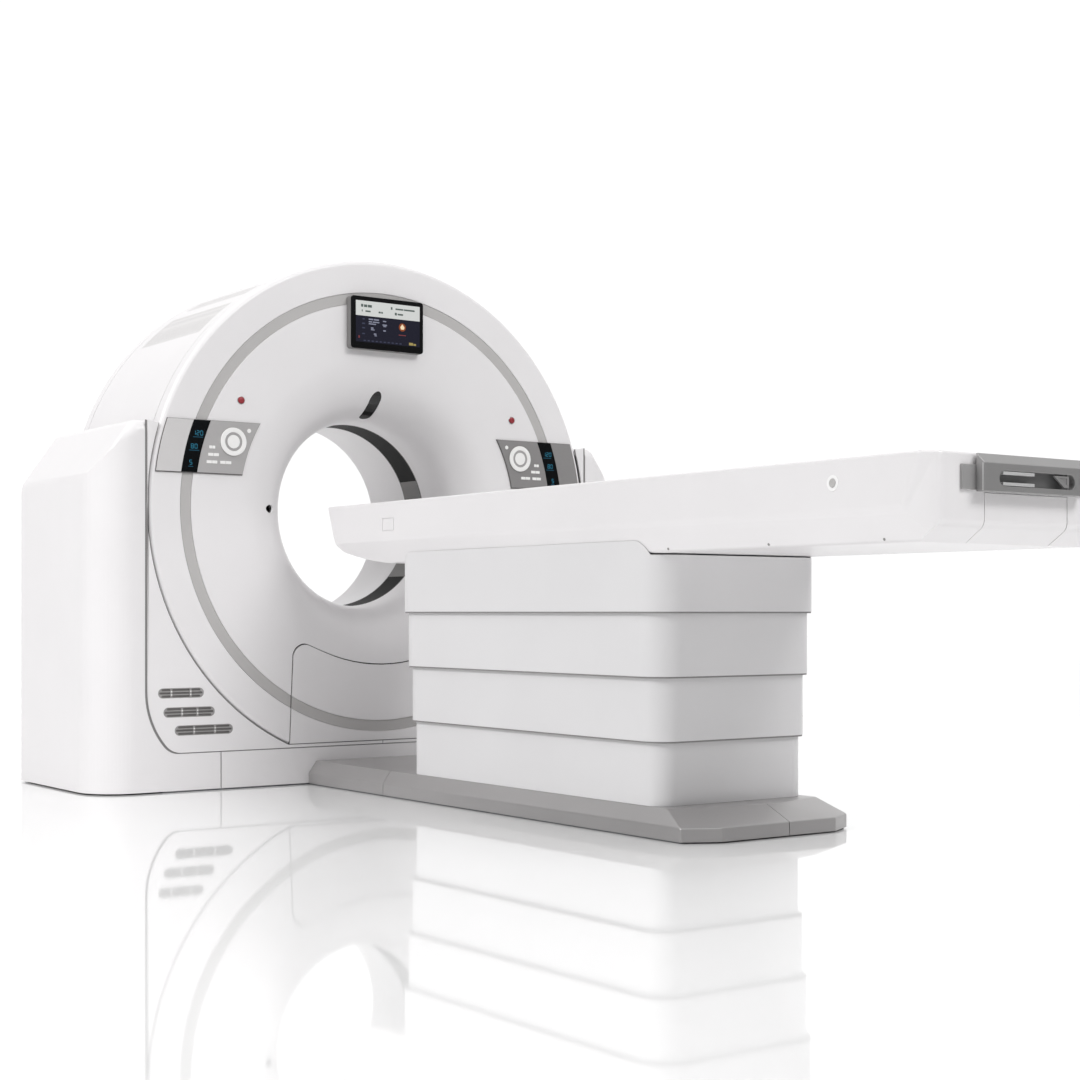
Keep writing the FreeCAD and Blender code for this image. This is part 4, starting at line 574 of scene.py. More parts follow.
SEGMENTS = {"0": "abcdef", "1": "bc", "2": "abdeg", "5": "acdfg", "8": "abcdefg"}
STROKES = {"a": (0, 1, 1, 0), "g": (0, 0, 1, 0), "d": (0, -1, 1, 0), "f": (-1, 0.5, 0, 1),
    "b": (1, 0.5, 0, 1), "e": (-1, -0.5, 0, 1), "c": (1, -0.5, 0, 1)}
DIAL_X, DIAL_Z, DIAL_WELL = -0.619, 1.23, 0.0263
for side, sign in (("left", 1), ("right", -1)):
    top, foot = 1.3, 1.116
    plates = [("keypad_inner", 0.7655, 0.594, keypad_mid if sign > 0 else keypad_shade_grey, -0.347, 0.0069),
        ("keypad_outer", 0.917, 0.8255, keypad_light if sign > 0 else keypad_shade_grey, -0.347, 0.0069),
        ("readout_stripe", 0.8252, 0.7658, readout_black, -0.3465, 0.0064)]
    for name, outer, inner, material, front, thick in plates:
        plate = front_slab(f"{name}_{side}", band(top, foot, outer, inner), front, thick, sign)
        if name == "keypad_inner":
            carved(plate, rod("cut", (sign * DIAL_X, -0.36, DIAL_Z), DIAL_WELL, (0, 0.0195, 0)))
        bevelled(plate, 0.0008, 2)
        finished(plate, material, "frame", "black_glass" if material is readout_black else "panel_grey",
            *([f"control_panel_{side}"] if name == "keypad_inner" else []))
    # the plate's dark rubber backing stands out a little all round, most along its lower edge; its dark grey
    # paints the shadow under the plate's edges
    backing = front_slab(f"keypad_shadow_backing_{side}", band(top + 0.0012, foot - 0.0036, 0.9188, 0.5924),
        -0.344, 0.0039, sign)
    carved(backing, rod("cut", (sign * DIAL_X, -0.36, DIAL_Z), DIAL_WELL, (0, 0.03, 0)))
    finished(backing, backing_shadow_grey, "frame", "panel_grey")
    digits, dims = [], []
    for text, z in (("120", 1.254), ("80", 1.207), ("5", 1.15)):
        middle = -sqrt(0.7955 ** 2 - (z - BORE_Z) ** 2)
        for k, digit in enumerate(text):
            at = sign * middle + (k - (len(text) - 1) / 2) * 0.014
            for stroke in SEGMENTS[digit]:
                dx, dz, wide, tall = STROKES[stroke]
                digits.append(tile("segment", at + dx * 0.0044, z + dz * 0.0076, 0.0074 if wide else 0.002,
                        0.0062 if tall else 0.002, -0.3467, 0.0003))
        dims.append(tile("underline", sign * middle, z - 0.0145, 0.038 if len(text) > 1 else 0.018, 0.0026,
                -0.3467, 0.0003))
    finished(joined(f"readout_digits_{side}", digits), digit_blue, "frame", "black_glass",
        *(["panel_readouts"] if sign > 0 else []))
    finished(joined(f"readout_marks_{side}", dims), digit_dim, "frame", "black_glass")

    # the dial: a ring key, a dark groove and a key in its middle; both keys press in
    middle = (sign * DIAL_X, DIAL_Z)

    def dial_part(name, radii):
        """Spin a section of (depth, radius) points round the dial's or button's own middle."""
        return spun(name, [(middle[0], depth, middle[1] + radius) for depth, radius in radii],
            (middle[0], 0, middle[1]), (0, 1, 0), 72, closed=radii[0][1] > 0)

    ring_key = dial_part(f"dial_ring_{side}", [(-0.3488, 0.05), (-0.352, 0.0498), (-0.3528, 0.049),
            (-0.353, 0.0478), (-0.353, 0.0352), (-0.3528, 0.0342), (-0.3522, 0.0334), (-0.3488, 0.0332)])
    marks = ((0, 0.0405, 0.012, 0.0018), (0, -0.0405, 0.012, 0.0018), (0.0405, 0, 0.0018, 0.01),
        (-0.0405, 0, 0.0018, 0.01))
    carved(ring_key, *[tile("cut", middle[0] + x, middle[1] + z, wide, tall, -0.3532, 0.0004)
            for x, z, wide, tall in marks])
    finished(ring_key, key_white, f"ring_key_{side}", "key_white", f"ring_key_{side}")
    groove = dial_part(f"dial_groove_{side}", [(-0.347, 0.0328), (-0.3514, 0.0328), (-0.3516, 0.0324),
            (-0.3516, 0.0248), (-0.3514, 0.0244), (-0.347, 0.0244)])
    finished(groove, groove_grey, "frame", "panel_grey")
    knob = dial_part(f"dial_key_{side}", [(-0.352, 0), (-0.3522, 0.011), (-0.3523, 0.02), (-0.3521, 0.0232),
            (-0.3514, 0.0239), (-0.346, 0.024), (-0.346, 0)])
    carved(knob, tile("cut", middle[0], middle[1], 0.01, 0.0016, -0.3526, 0.0012),
        tile("cut", middle[0], middle[1], 0.0016, 0.01, -0.3526, 0.0012))
    finished(knob, key_white, f"centre_key_{side}", "key_white", f"centre_key_{side}")

    # flat bar keys under a raised film, and a small lamp
    bars = []
    for far, long, up in ((0.712, 0.024, 1.207), (0.716, 0.042, 1.181), (0.722, 0.042, 1.155),
            (0.67, 0.044, 1.155)):
        for k in range(2):
            bars.append(tile("bar", sign * (-far + long * (0.25 + 0.5 * k)), up, long / 2 - 0.0012, 0.0105,
                    -0.3481, 0.0012, 0.0012))
    bars.append(rod("lamp", (sign * -0.557, -0.3481, 1.272), 0.0075, (0, 0.0012, 0), 32))
    finished(bevelled(joined(f"bar_keys_{side}", bars), 0.0003, 1), key_white, "frame", "key_white",
        *(["panel_keys"] if sign > 0 else []))

# ---- Red buttons ----
# One stop button high on each side of the dish: a red mushroom cap in a plain well, sprung outwards.
# polyamide, moulded in signal red, slightly glossy from handling
stop_red = finish_of("moulded_polyamide_red", "#9E2A34", "#8E222C", 0.4, drift=0.02, grain=0.002, coat=0.2)
collar_grey = finish_of("turned_aluminium_collar", "#C4C2C2", "#B8B6B6", 0.35, drift=0.02, grain=0.001,
    metal=0.8)
for side, x in (("left", -STOP_X), ("right", STOP_X)):
    middle = (x, STOP_Z)
    cap = dial_part(f"stop_cap_{side}", [(-0.347, 0), (-0.3469, 0.004), (-0.3465, 0.008), (-0.3455, 0.0106),
            (-0.344, 0.0118), (-0.331, 0.0119), (-0.331, 0)])
    finished(cap, stop_red, f"stop_button_{side}", "red_button", f"stop_button_{side}")
    collar = dial_part(f"stop_collar_{side}", [(-0.3398, 0.0124), (-0.3412, 0.0126), (-0.3416, 0.0134),
            (-0.3412, 0.0146), (-0.3398, 0.015)])
    finished(collar, collar_grey, "frame", "accent_grey")

# ---- Screen ----
# The patient screen over the bore: a black glass front bonded to a slim grey housing. It shows a light
# header and a dark page with plain bars, a round lamp sign and small coloured marks.
housing_paint = finish_of("cast_magnesium_grey_paint", "#7C7A7A", "#747272", 0.45, grain=0.002)


def rounded_plate(name, wide, low, high, corner, front, thick):
    """An upright plate with rounded corners, centred over the bore."""
    return front_slab(name, path([(wide - corner, low), (wide, low + corner, corner), (wide, high - corner),
            (wide - corner, high, corner), (-wide + corner, high), (-wide, high - corner, corner),
            (-wide, low + corner), (-wide + corner, low, corner)], radians(10)), front, thick)


case = bevelled(rounded_plate("screen_case", 0.1563, 1.6002, 1.7948, 0.012, -0.3698, 0.0297), 0.003, 3)
finished(case, housing_paint, "frame", "screen_metal", "screen_housing")
pane = bevelled(rounded_plate("screen_pane", 0.156, 1.6005, 1.7945, 0.0117, -0.373, 0.0031), 0.0012, 2)
glass_black = finish_of("coated_display_glass", "#0C0C0E", "#08080A", 0.07, drift=0.05, grain=0.02,
    relief=0.000002, spread=0.02, ior=1.52)
finished(pane, glass_black, "frame", "black_glass", "screen_glass")
page_white = glowing("display_page_white", "#D0D2D0")
page_navy = glowing("display_page_navy", "#191928")
ink = glowing("display_ink_dark", "#55605C")
pale = glowing("display_ink_pale", "#878A9C")
faint = glowing("display_ink_faint", "#3C4054")
orange = glowing("display_sign_orange", "#8A4524")
cream = glowing("display_sign_cream", "#F2DCB8")
amber = glowing("display_mark_amber", "#A39357")
signal = glowing("display_mark_red", "#7C3A3C")


def on_screen(u, v):
    """A place on the glass, from its top left corner in shares of its width and height."""
    return -0.156 + 0.312 * u, 1.7945 - 0.194 * v


def shown(name, material, boxes, front=-0.37345):
    """Bars on the page, each from its left, top, width and height in thousandths of the glass."""
    made = []
    for box in boxes:
        u, v, wide, tall = (share / 1000 for share in box)
        x, z = on_screen(u + wide / 2, v + tall / 2)
        made.append(tile("bar", x, z, 0.312 * wide, 0.194 * tall, front, 0.0002))
    return finished(joined(name, made), material, "frame", "black_glass")


shown("screen_header", page_white, [(65, 85, 885, 285)], -0.37325)
shown("screen_page", page_navy, [(65, 372, 885, 500)], -0.37325)
shown("screen_title", ink, [(135, 150, 30, 55), (175, 155, 45, 50), (228, 155, 55, 50), (545, 150, 22, 50),
        (610, 165, 110, 30), (728, 165, 150, 30)])
shown("screen_subtitle", ink, [(145, 255, 12, 40), (195, 265, 70, 30), (375, 262, 30, 34),
        (412, 262, 22, 34), (600, 250, 28, 50), (640, 262, 75, 32)])
shown("screen_lines", pale, [(240, 415, 60, 26), (310, 415, 70, 26), (240, 465, 45, 22), (295, 465, 90, 22),
        (240, 505, 100, 20), (270, 580, 35, 24), (270, 615, 50, 18), (310, 690, 35, 24), (320, 725, 30, 18),
        (435, 430, 45, 22), (430, 500, 60, 24), (440, 530, 40, 18), (440, 610, 35, 24)])
shown("screen_column", faint, [(155, 420, 30, 24), (150, 505, 40, 26), (152, 590, 36, 24),
        (152, 700, 36, 24)] + [(170 + 55 * k, 830, 30, 20) for k in range(10)])
shown("screen_mark_amber", amber, [(800, 800, 55, 50), (862, 815, 35, 35)])
shown("screen_mark_red", signal, [(100, 755, 18, 45), (655, 665, 100, 16)])
x, z = on_screen(0.705, 0.52)
sign_disc = rod("screen_sign_disc", (x, -0.37345, z), 0.015, (0, 0.0002, 0), 40)
finished(sign_disc, orange, "frame", "black_glass")
sign_drop = front_slab("screen_sign_drop",
    path([(x - 0.006, z - 0.008), (x + 0.006, z - 0.008), (x + 0.009, z + 0.001, 0.012), (x, z + 0.012),
        (x - 0.009, z + 0.001)]), -0.37365, 0.0002)
finished(sign_drop, cream, "frame", "black_glass")

# ---- Inside the gantry ----
# What turns and what carries it: machined rings, castings and painted steel, seen only with a cover off.
# fabricated steel, powder-coated mid grey with a slight orange peel
steel_paint = finish_of("powder_coated_steel_grey", "#8C8E91", "#7E8083", 0.5, drift=0.25, grain=0.003,
    relief=0.0001)
# ground bearing steel: bright, drawn round the ring by the wheel
ground_steel = finish_of("ground_bearing_steel", "#C9C9CB", "#B9B9BC", 0.28, drift=0.15, grain=0.001,
    metal=1.0)
# sand-cast aluminium, machined where it mates: grainy and dull
cast_alloy = finish_of("cast_aluminium_blasted", "#C2C2C3", "#AEAEB0", 0.5, drift=0.2, grain=0.0025,
    relief=0.0002, metal=0.9)
# chloroprene belt with a woven back: black and matt
belt_rubber = finish_of("chloroprene_belt_black", "#2A2A2B", "#202021", 0.75, grain=0.0015, relief=0.0001)
for material, names in ((steel_paint, ("floor_frame", "collimator", "hv_generator", "counterweight",
            "detector", "brush_block", "drive_motor", "lift_base", "table_frame", "cradle_drive")),
        (ground_steel, ("bearing_inner", "bearing_outer", "slip_ring", "drive_pulley", "lift_middle",
            "lift_inner", "cradle_carriage")), (cast_alloy, ("stator_frame", "rotor_drum", "xray_tube")),
        (belt_rubber, ("drive_belt",))):
    for name in names:
        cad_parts[name].data.materials.clear()
        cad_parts[name].data.materials.append(material)

# ---- Table plinth ----
# The low metal cover over the table's base plate: upright at its edge, then sloping up to the column.
# It is pressed steel in three pieces, painted in metallic grey, with open seams between them.
# metallic two-coat paint over steel: fine flake, satin, brighter where it turns to the light
plinth_metal = finish_of("metallic_lacquer_plinth_grey", "#ABA9A9", "#A09E9E", 0.34, drift=0.3,
    grain=0.0012, relief=0.00002, metal=0.45, coat=0.1)


def plinth_plan(side, end, wide, long, height):
    """The plinth's plan at a height, with a facet at each far corner."""
    return [(-side, -0.34, height), (-side, -end + long, height), (-side + wide, -end, height),
        (side - wide, -end, height), (side, -end + long, height), (side, -0.34, height)]


plinth = slab("table_plinth_cover", plinth_plan(0.315, 2.493, 0.1, 0.055, 0.0), (0, 0, 0.042))
chosen(plinth)
for polygon in plinth.data.polygons:
    polygon.select = polygon.normal.z > 0.9
for edge in plinth.data.edges:
    edge.select = all(plinth.data.vertices[v].co.z > 0.04 for v in edge.vertices)
for vertex in plinth.data.vertices:
    vertex.select = vertex.co.z > 0.04
bpy.ops.object.mode_set(mode="EDIT")
bpy.ops.mesh.select_mode(type="FACE")
bpy.ops.mesh.extrude_region_move(TRANSFORM_OT_translate={"value": (0, 0, 0.043)})
bpy.ops.mesh.select_mode(type="VERT")
bpy.ops.object.mode_set(mode="OBJECT")
low_plan = plinth_plan(0.315, 2.493, 0.1, 0.055, 0.085)
top_plan = plinth_plan(0.284, 2.398, 0.19, 0.055, 0.085)
for vertex in plinth.data.vertices:
    if vertex.co.z > 0.08:
        nearest = min(range(6), key=lambda k: (Vector(low_plan[k]) - vertex.co).length)
        vertex.co = top_plan[nearest]
bevelled(plinth, 0.004, 3, 12)
# the mouth for the column, the hollow below, the line over the floor, and the two open seams
carved(plinth, block((-0.252, -2.277, -0.01), (0.252, -1.02, 0.19)),
    block((-0.309, -2.432, -0.01), (0.309, -0.346, 0.036)), block((-0.4, -2.6, -0.01), (0.4, -0.3, 0.004)),
    block((-0.32, -0.8714, -0.01), (0.32, -0.869, 0.11)),
    block((0.0345, -2.5, -0.01), (0.0368, -2.277, 0.11)))
finished(plinth, plinth_metal, "frame", "plinth_metal", "table_plinth", angle=25)

# ---- Column skirts ----
# Four nested skirts hide the lift. Each is a bent and welded sheet with rounded corners, painted white;
# the upper ones hang over the lower ones and drop over them as the table goes down. A light grey strip
# along the lower edge of each of the upper three paints the shadow line in the gap below it.

def skirt_plan(grow, height):
    """A skirt's plan at a height: the lowest one's, grown on every side."""
    half, near, far, bend = 0.282 + grow, 0.99 - grow, 2.307 + grow, 0.061 + grow
    edge = path([(-half, -far + bend), (-half + bend, -far, bend), (half - bend, -far),
            (half, -far + bend, bend), (half, -near - bend), (half - bend, -near, bend),
            (-half + bend, -near), (-half, -near - bend, bend)], radians(5))
    return [(x, y, height) for x, y in edge]


skirt_paint = finish_of("powder_coat_white", "#DDDCDD", "#D6D5D6", 0.42, grain=0.004, coat=0.1)
SKIRTS = [("column_skirt_4", 0, "frame"), ("column_skirt_3", 1, "skirt_lower"),
    ("column_skirt_2", 2, "skirt_upper"), ("column_skirt_1", 3, "table_head")]
TIER_STEP, TIER_RISE, PLINTH_TOP = 0.013, 0.181, 0.085
for name, steps, rider in SKIRTS:
    grow, low = TIER_STEP * steps, PLINTH_TOP + TIER_RISE * steps
    tall = 0.193 if steps < 3 else 0.867 - low
    skirt = slab(f"{name}_shell", skirt_plan(grow, low), (0, 0, tall))
    carved(skirt, slab("cut", skirt_plan(grow - 0.003, low + 0.009), (0, 0, tall)),
        slab("cut", skirt_plan(grow - 0.0127 if steps else grow - 0.003, low - 0.01), (0, 0, 0.0195)))
    if steps == 3:
        for sign in (-1, 1):
            carved(skirt, slab("cut", [(sign * 0.3353, -2.6, 0.863), (sign * 0.3053, -2.6, 0.7857),
                    (0, -2.6, 0.7857), (0, -2.6, 0.88), (sign * 0.3353, -2.6, 0.88)], (0, 2.0, 0)))
    bevelled(skirt, 0.0008, 2)
    finished(skirt, skirt_paint, rider, "white_cover", name)
    # a light grey strip under each upper skirt's lower edge paints the shadow line below the overhang
    if steps:
        shadow_line_strip = slab(f"{name}_wiper", skirt_plan(grow - 0.0015, low - 0.0045), (0, 0, 0.0045))
        carved(shadow_line_strip, slab("cut", skirt_plan(grow - 0.0125, low - 0.01), (0, 0, 0.02)))
        finished(shadow_line_strip, shade_line_light_grey, rider, "white_cover")

# ---- Table body ----
# The long body that carries the cradle: a moulded shell with an upswept nose at the gantry and sides
# that turn in below. At the foot its corners are cut back in facets. It is painted like the gantry.

def split(piece, place, normal):
    """Cut a solid along a plane, keep the side behind it, and close the cut."""
    chosen(piece)
    bpy.ops.object.mode_set(mode="EDIT")
    bpy.ops.mesh.select_all(action="SELECT")
    bpy.ops.mesh.bisect(plane_co=place, plane_no=normal, use_fill=True, clear_outer=True, threshold=0.00001)
    bpy.ops.object.mode_set(mode="OBJECT")
    return piece


def softened(piece, width, segments, wanted):
    """Round the edges that a test picks by their middle and direction."""
    chosen(piece)
    bpy.ops.object.mode_set(mode="EDIT")
    bpy.ops.mesh.select_mode(type="EDGE")
    bpy.ops.mesh.select_all(action="DESELECT")
    bpy.ops.object.mode_set(mode="OBJECT")
    for edge in piece.data.edges:
        a, b = (piece.data.vertices[v].co for v in edge.vertices)
        edge.select = wanted((a + b) / 2, (b - a).normalized())
    bpy.ops.object.mode_set(mode="EDIT")
    bpy.ops.mesh.bevel(offset=width, segments=segments, affect="EDGES")
    bpy.ops.object.mode_set(mode="OBJECT")
    return piece


HALF, FOOT_END = 0.335, -3.348  # half the body's width, and where it ends


def table_block(name, inset, top):
    """The bulk of the body, or of the hollow in it, with its lower sides turned in."""
    rise = 0.042
    sweep = (0.36 ** 2 + rise ** 2) / (2 * rise)
    side = path([(-0.522 - inset, top), (-0.562 - inset, 0.893), (-0.64, 0.832 + inset, -(0.106 - inset)),
            (-1.0, 0.79 + inset, -sweep), (-3.29, 0.79 + inset), (FOOT_END + inset, 0.83),
            (FOOT_END + inset, top)], radians(2))
    half = HALF - inset
    solid = slab(name, [(-half, y, z) for y, z in side], (2 * half, 0, 0))
    for sign in (-1, 1):
        split(solid, (sign * half, 0, 0.867), (sign * 0.077, 0, -0.03))
        if inset:
            split(solid, (sign * 0.326, -3.25, 0.9), (sign * 0.092, -0.064, 0))
        else:
            split(solid, (sign * HALF, -3.284, 0.9), (sign * 0.064, -0.034, 0))
    return solid


body_shell = table_block("table_body", 0.0, 1.0)
# the foot's facets widen downwards: their edge on the side slants, and their edge on the end face leans out
for vertex in body_shell.data.vertices:
    x, y, z = vertex.co
    if abs(abs(x) - HALF) < 0.0005 and abs(y + 3.284) < 0.002:
        vertex.co.y = -3.314 if z > 0.99 else -3.256
    if abs(y - FOOT_END) < 0.0005 and 0.28 < abs(x) < 0.32 and z < 0.9:
        vertex.co.x = copysign(0.309, x)
softened(body_shell, 0.016, 5, lambda m, d: abs(m.z - 0.867) < 0.001 and abs(d.y) > 0.99 and abs(m.x) > 0.3)
softened(body_shell, 0.007, 4, lambda m, d: (abs(m.z - 1.0) < 0.001
        and (abs(m.x) > 0.29 or m.y < -3.3 or m.y > -0.53)))
softened(body_shell, 0.01, 4, lambda m, d: abs(d.z) > 0.6 and m.y < -3.24 and abs(m.x) > 0.28 and m.z > 0.872)
softened(body_shell, 0.014, 5, lambda m, d: abs(m.z - 0.83) < 0.004 and m.y < -3.34 and abs(d.x) > 0.9)
softened(body_shell, 0.008, 3, lambda m, d: abs(m.z - 0.79) < 0.001 and abs(d.y) > 0.99 and abs(m.x) > 0.29)
hollow = table_block("cut", 0.008, 0.988)
well = block((-0.24, -3.262, 0.922), (0.24, -0.521, 1.022))
column_holes = [block((-0.07, y - 0.07, 0.78), (0.07, y + 0.07, 0.81)) for y in (-1.25, -2.05)]
foot_gap = block((-0.152, -3.36, 0.78), (0.152, -3.23, 0.908))
carved(body_shell, hollow, well, *column_holes, foot_gap,
    rod("cut", (-0.34, -3.035, 0.94), 0.0133, (0.03, 0, 0)))
# the flush square of a covered socket, low on the left side near the gantry
groove = block((-0.3358, -0.975, 0.9), (-0.3326, -0.898, 0.944))
carved(body_shell, carved(groove, block((-0.34, -0.9725, 0.9025), (-0.32, -0.9005, 0.9415))))
# the table's own paint: the same polyurethane, a shade greyer than the gantry's
table_paint = finish_of("polyurethane_paint_table_white", "#E6E4E5", "#DFDDDE", 0.38, coat=0.15)
finished(body_shell, table_paint, "table_head", "white_cover", "table_shell", angle=28)

# the screws along the lower edge, countersunk in the slope
screw_steel = finish_of("zinc_plated_screw_steel", "#9C9B99", "#8E8D8B", 0.35, grain=0.0006, metal=0.9)
screws = []
for sign in (-1, 1):
    for y in (-3.18, -2.78, -2.38, -1.98, -1.58, -1.18):
        screw = rod("screw", (sign * 0.3085, y, 0.7995), 0.0036, (sign * 0.0015, 0, -0.0006), 24)
        screws.append(bevelled(screw, 0.0003, 1))
finished(joined("body_screws", screws), screw_steel, "table_head", "bright_steel")

# ---- Foot panel ----
# The middle panel under the handle: it bends back under the foot and drops off for the cradle's drive.
panel = table_block("foot_hatch", 0.0, 1.0)
softened(panel, 0.014, 5, lambda m, d: abs(m.z - 0.83) < 0.004 and m.y < -3.34 and abs(d.x) > 0.9)
for place, normal in (((-0.1496, 0, 0), (-1, 0, 0)), ((0.1496, 0, 0), (1, 0, 0)),
        ((0, -3.2312, 0), (0, 1, 0)), ((0, 0, 0.9068), (0, 0, 1))):
    split(panel, place, normal)
inner = slab("cut", [(-0.2, y, z) for y, z in ((-3.34, 1.1), (-3.34, 0.834), (-3.287, 0.798), (-3.1, 0.798),
        (-3.1, 1.1))], (0.4, 0, 0))
carved(panel, inner)
bevelled(panel, 0.0008, 2, 50)
finished(panel, table_paint, "table_head", "white_cover", "foot_panel", angle=28)

# ---- Cradle ----
# The board the patient lies on: a hollow-backed sandwich of carbon fibre over foam, rounded at both
# ends. Clear resin covers a twill weave.
# carbon fibre twill, 4 mm tows under clear epoxy: dark, with a checked sheen
carbon, place = blank("carbon_fibre_twill")
across = add_node(carbon, "Mapping", {"Vector": (place, "Object"), "Rotation": (0, 0, radians(45)),
        "Scale": (1, 1, 0)})
tows = add_node(carbon, "TexChecker", {"Vector": (across, "Vector"), "Scale": 160.0,
        "Color1": linear("#2B2C2F"), "Color2": linear("#1B1C1E")})
strands = add_node(carbon, "TexWave", {"Vector": (across, "Vector"), "Scale": 200.0, "Distortion": 1.0})
weave = add_node(carbon, "Bump", {"Height": (strands, "Fac"), "Strength": 0.2, "Distance": 0.0001})
sheen = add_node(carbon, "MapRange", {"Value": (tows, "Fac"), "To Min": 0.3, "To Max": 0.42})
resin = add_node(carbon, "BsdfPrincipled", {"Base Color": (tows, "Color"), "Roughness": (sheen, "Result"),
        "Normal": (weave, "Normal"), "Coat Weight": 0.4, "Coat Roughness": 0.15})
add_node(carbon, "OutputMaterial", {"Surface": (resin, "BSDF")})
board = recast("cradle", "cradle_board", 0.0015, 2, 50)
finished(board, carbon, "cradle", "carbon", "cradle")

# ---- Handle block ----
# The grip across the table's foot: a die-cast bar with a sloping top, a finger slot and a release lever.
# A lighter bracket behind it is screwed to the end face.
# die-cast zinc under dark metallic lacquer: satin, with a fine sparkle
handle_lacquer = finish_of("metallic_lacquer_handle_grey", "#9C9B9B", "#929191", 0.36, drift=0.2,
    grain=0.001, relief=0.00002, metal=0.45, coat=0.15)
bracket_lacquer = finish_of("metallic_lacquer_bracket_grey", "#ABAAAA", "#A1A0A0", 0.4, drift=0.2,
    grain=0.001, relief=0.00002, metal=0.4)
grip = slab("handle_bar", [(-0.19, y, z) for y, z in ((-3.382, 0.908), (-3.3565, 0.908), (-3.3565, 0.998),
        (-3.36, 0.998), (-3.382, 0.975))], (0.38, 0, 0))
bevelled(grip, 0.0025, 4, 25)
carved(grip, front_slab("cut", stadium(-0.137, 0.137, 0.94, 0.018), -3.39, 0.03))
softened(grip, 0.0012, 2, lambda m, d: abs(m.y + 3.382) < 0.0003 and 0.92 < m.z < 0.96 and abs(m.x) < 0.138)
finished(grip, handle_lacquer, "table_head", "handle_grey", "handle_block", angle=30)
bracket = front_slab("handle_bracket", [(-0.235, 0.912), (0.235, 0.912), (0.235, 0.971), (-0.235, 0.971)],
    -3.3478, -0.0082)
bevelled(bracket, 0.0015, 3)
finished(bracket, bracket_lacquer, "table_head", "handle_grey")
# light strips along the top and foot of the slot's left part, and a small trim at the bar's end: painted
# highlights on those edges
highlight_paint = finish_of("painted_highlight_strip_grey", "#DCDCDC", "#D0D0D0", 0.35, drift=0.05, grain=0.001,
    relief=0.000005, metal=0.5)
strips = [bevelled(front_slab("strip", [(-0.124, low), (-0.012, low), (-0.012, low + 0.0075),
        (-0.124, low + 0.0075)], -3.3818, 0.012), 0.0008, 2) for low in (0.9235, 0.949)]
strips.append(bevelled(slab("strip", [(-0.1902, -3.3785, 0.9095), (-0.1902, -3.3757, 0.9095),
        (-0.1902, -3.3757, 0.976), (-0.1902, -3.3785, 0.973)], (0.001, 0, 0)), 0.0003, 1))
finished(joined("handle_strips", strips), highlight_paint, "table_head", "handle_grey")
# a grey sheet on the slot's floor paints the shade deep in the slot
pocket = front_slab("slot_floor", stadium(-0.1365, 0.1365, 0.94, 0.0175), -3.3605, 0.0005)
slot_shade_paint = finish_of("slot_floor_painted_shade_grey", "#6A6A6A", "#606060", 0.5, grain=0.002, ior=1.54)
finished(pocket, slot_shade_paint, "table_head", "handle_grey")

# the release lever: a pressed triangle on an upright pin, which the fingers pull back into the slot
lever = front_slab("lever_plate", [(0.118, 0.954), (0.062, 0.954), (0.1, 0.9262), (0.118, 0.9262)], -3.38,
    0.006)
carved(lever, front_slab("cut", [(0.11, 0.9495), (0.082, 0.9495), (0.11, 0.9325)], -3.383, 0.0055))
bevelled(lever, 0.0008, 2)
pin = rod("lever_pin", (0.115, -3.377, 0.9215), 0.002, (0, 0, 0.037), 24)
finished(joined("release_lever_plate", [lever, pin]), handle_lacquer, "release_lever", "handle_grey",
    "release_lever")

# ---- Side button ----
# A round push button on the table's left side, near the foot: a grey cap in a white moulded bezel.
bezel_white = finish_of("moulded_abs_bezel_white", "#F2F1F1", "#EBEAEA", 0.35, grain=0.002, coat=0.1)
button_grey = finish_of("moulded_abs_button_grey", "#B9B7B6", "#AEACAB", 0.4, drift=0.02, grain=0.001)


def side_part(name, radii):
    """Spin a section round the side button's middle; a point is its X and its radius."""
    return spun(name, [(x, -3.035, 0.94 + radius) for x, radius in radii], (0, -3.035, 0.94), (1, 0, 0), 64,
        closed=radii[0][1] > 0)


bezel = side_part("side_bezel", [(-0.3348, 0.0114), (-0.3366, 0.0114), (-0.337, 0.0122), (-0.337, 0.0176),
        (-0.3364, 0.0192), (-0.3348, 0.0198)])
finished(bezel, bezel_white, "table_head", "white_cover")
cap = side_part("side_button_cap", [(-0.3368, 0), (-0.337, 0.005), (-0.3376, 0.007), (-0.338, 0.0084),
        (-0.3379, 0.01), (-0.3372, 0.0109), (-0.329, 0.011), (-0.329, 0)])
finished(cap, button_grey, "side_button", "accent_grey", "side_button")

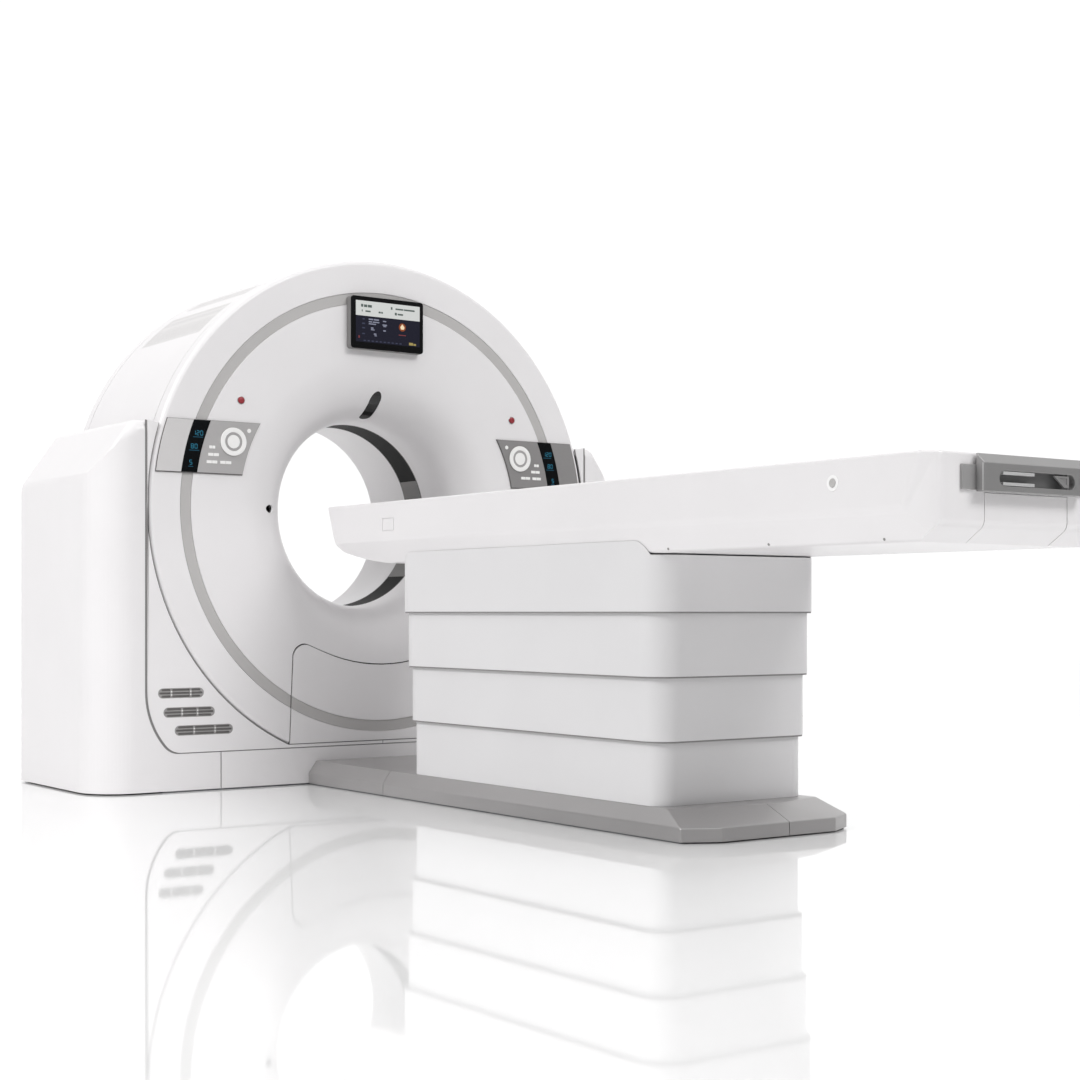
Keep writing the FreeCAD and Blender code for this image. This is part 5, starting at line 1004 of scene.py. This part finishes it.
# ---- Studio ----
# A white glossy floor, a surround that is white behind the scanner and brightens overhead, a key light
# from the left and a weaker one in front. The camera stands low at the table's foot.
bpy.ops.object.select_all(action="DESELECT")
bpy.ops.mesh.primitive_grid_add(x_subdivisions=4, y_subdivisions=4, size=60, location=(0, 0, -0.0005))
floor = bpy.context.object
floor.name = floor.data.name = "studio_floor"
floor_paint = finish_of("polished_floor_white", "#FFFFFF", "#FCFCFC", 0.04, drift=2.0, grain=0.05,
    relief=0.000001, metal=0.4, spread=0.01, ior=1.1)
floor.data.materials.append(floor_paint)

world = bpy.data.worlds.new("studio_surround")
world.use_nodes = True
world.node_tree.nodes.clear()
toward = add_node(world, "TexCoord")
facing = add_node(world, "VectorMath", {0: (toward, "Generated"), 1: (0.583, 0.813, 0.0)},
    operation="DOT_PRODUCT")
wall = add_node(world, "MapRange", {"Value": (facing, "Value"), "From Min": 0.3, "From Max": 0.88,
        "To Min": 0.0, "To Max": 1.05}, interpolation_type="SMOOTHSTEP")
height = add_node(world, "SeparateXYZ", {"Vector": (toward, "Generated")})
ceiling = add_node(world, "MapRange", {"Value": (height, "Z"), "From Min": 0.0, "From Max": 0.8,
        "To Min": 0.05, "To Max": 0.95}, interpolation_type="SMOOTHSTEP")
brighter = add_node(world, "Math", {0: (wall, "Result"), 1: (ceiling, "Result")}, operation="MAXIMUM")
glow = add_node(world, "Background", {"Color": (1.0, 1.0, 1.0, 1.0), "Strength": (brighter, "Value")})
add_node(world, "OutputWorld", {"Surface": (glow, "Background")})
bpy.context.scene.world = world


def soft_box(name, place, aim, size, watts):
    """An area light that faces a point."""
    bpy.ops.object.light_add(type="AREA", location=place,
        rotation=(Vector(aim) - Vector(place)).to_track_quat("-Z", "Y").to_euler())
    lamp = bpy.context.object
    lamp.name = lamp.data.name = name
    lamp.data.shape = "RECTANGLE"
    lamp.data.size, lamp.data.size_y = size
    lamp.data.energy = watts


soft_box("key_box", (-13, -0.8, 9), (0, -1, 0.8), (4, 4), 930)
soft_box("front_box", (2.2, -10, 7.8), (0, -1, 0.8), (5, 3), 430)

bpy.ops.object.camera_add(location=(-3.475, -6.195, 0.627), rotation=(radians(90), 0, -radians(35.64)))
camera = bpy.context.object
camera.name = camera.data.name = "studio_camera"
camera.data.sensor_width = 36
camera.data.lens = 60.4
camera.data.shift_y = 0.0667
bpy.context.scene.camera = camera
bpy.context.scene.view_settings.view_transform = "Standard"
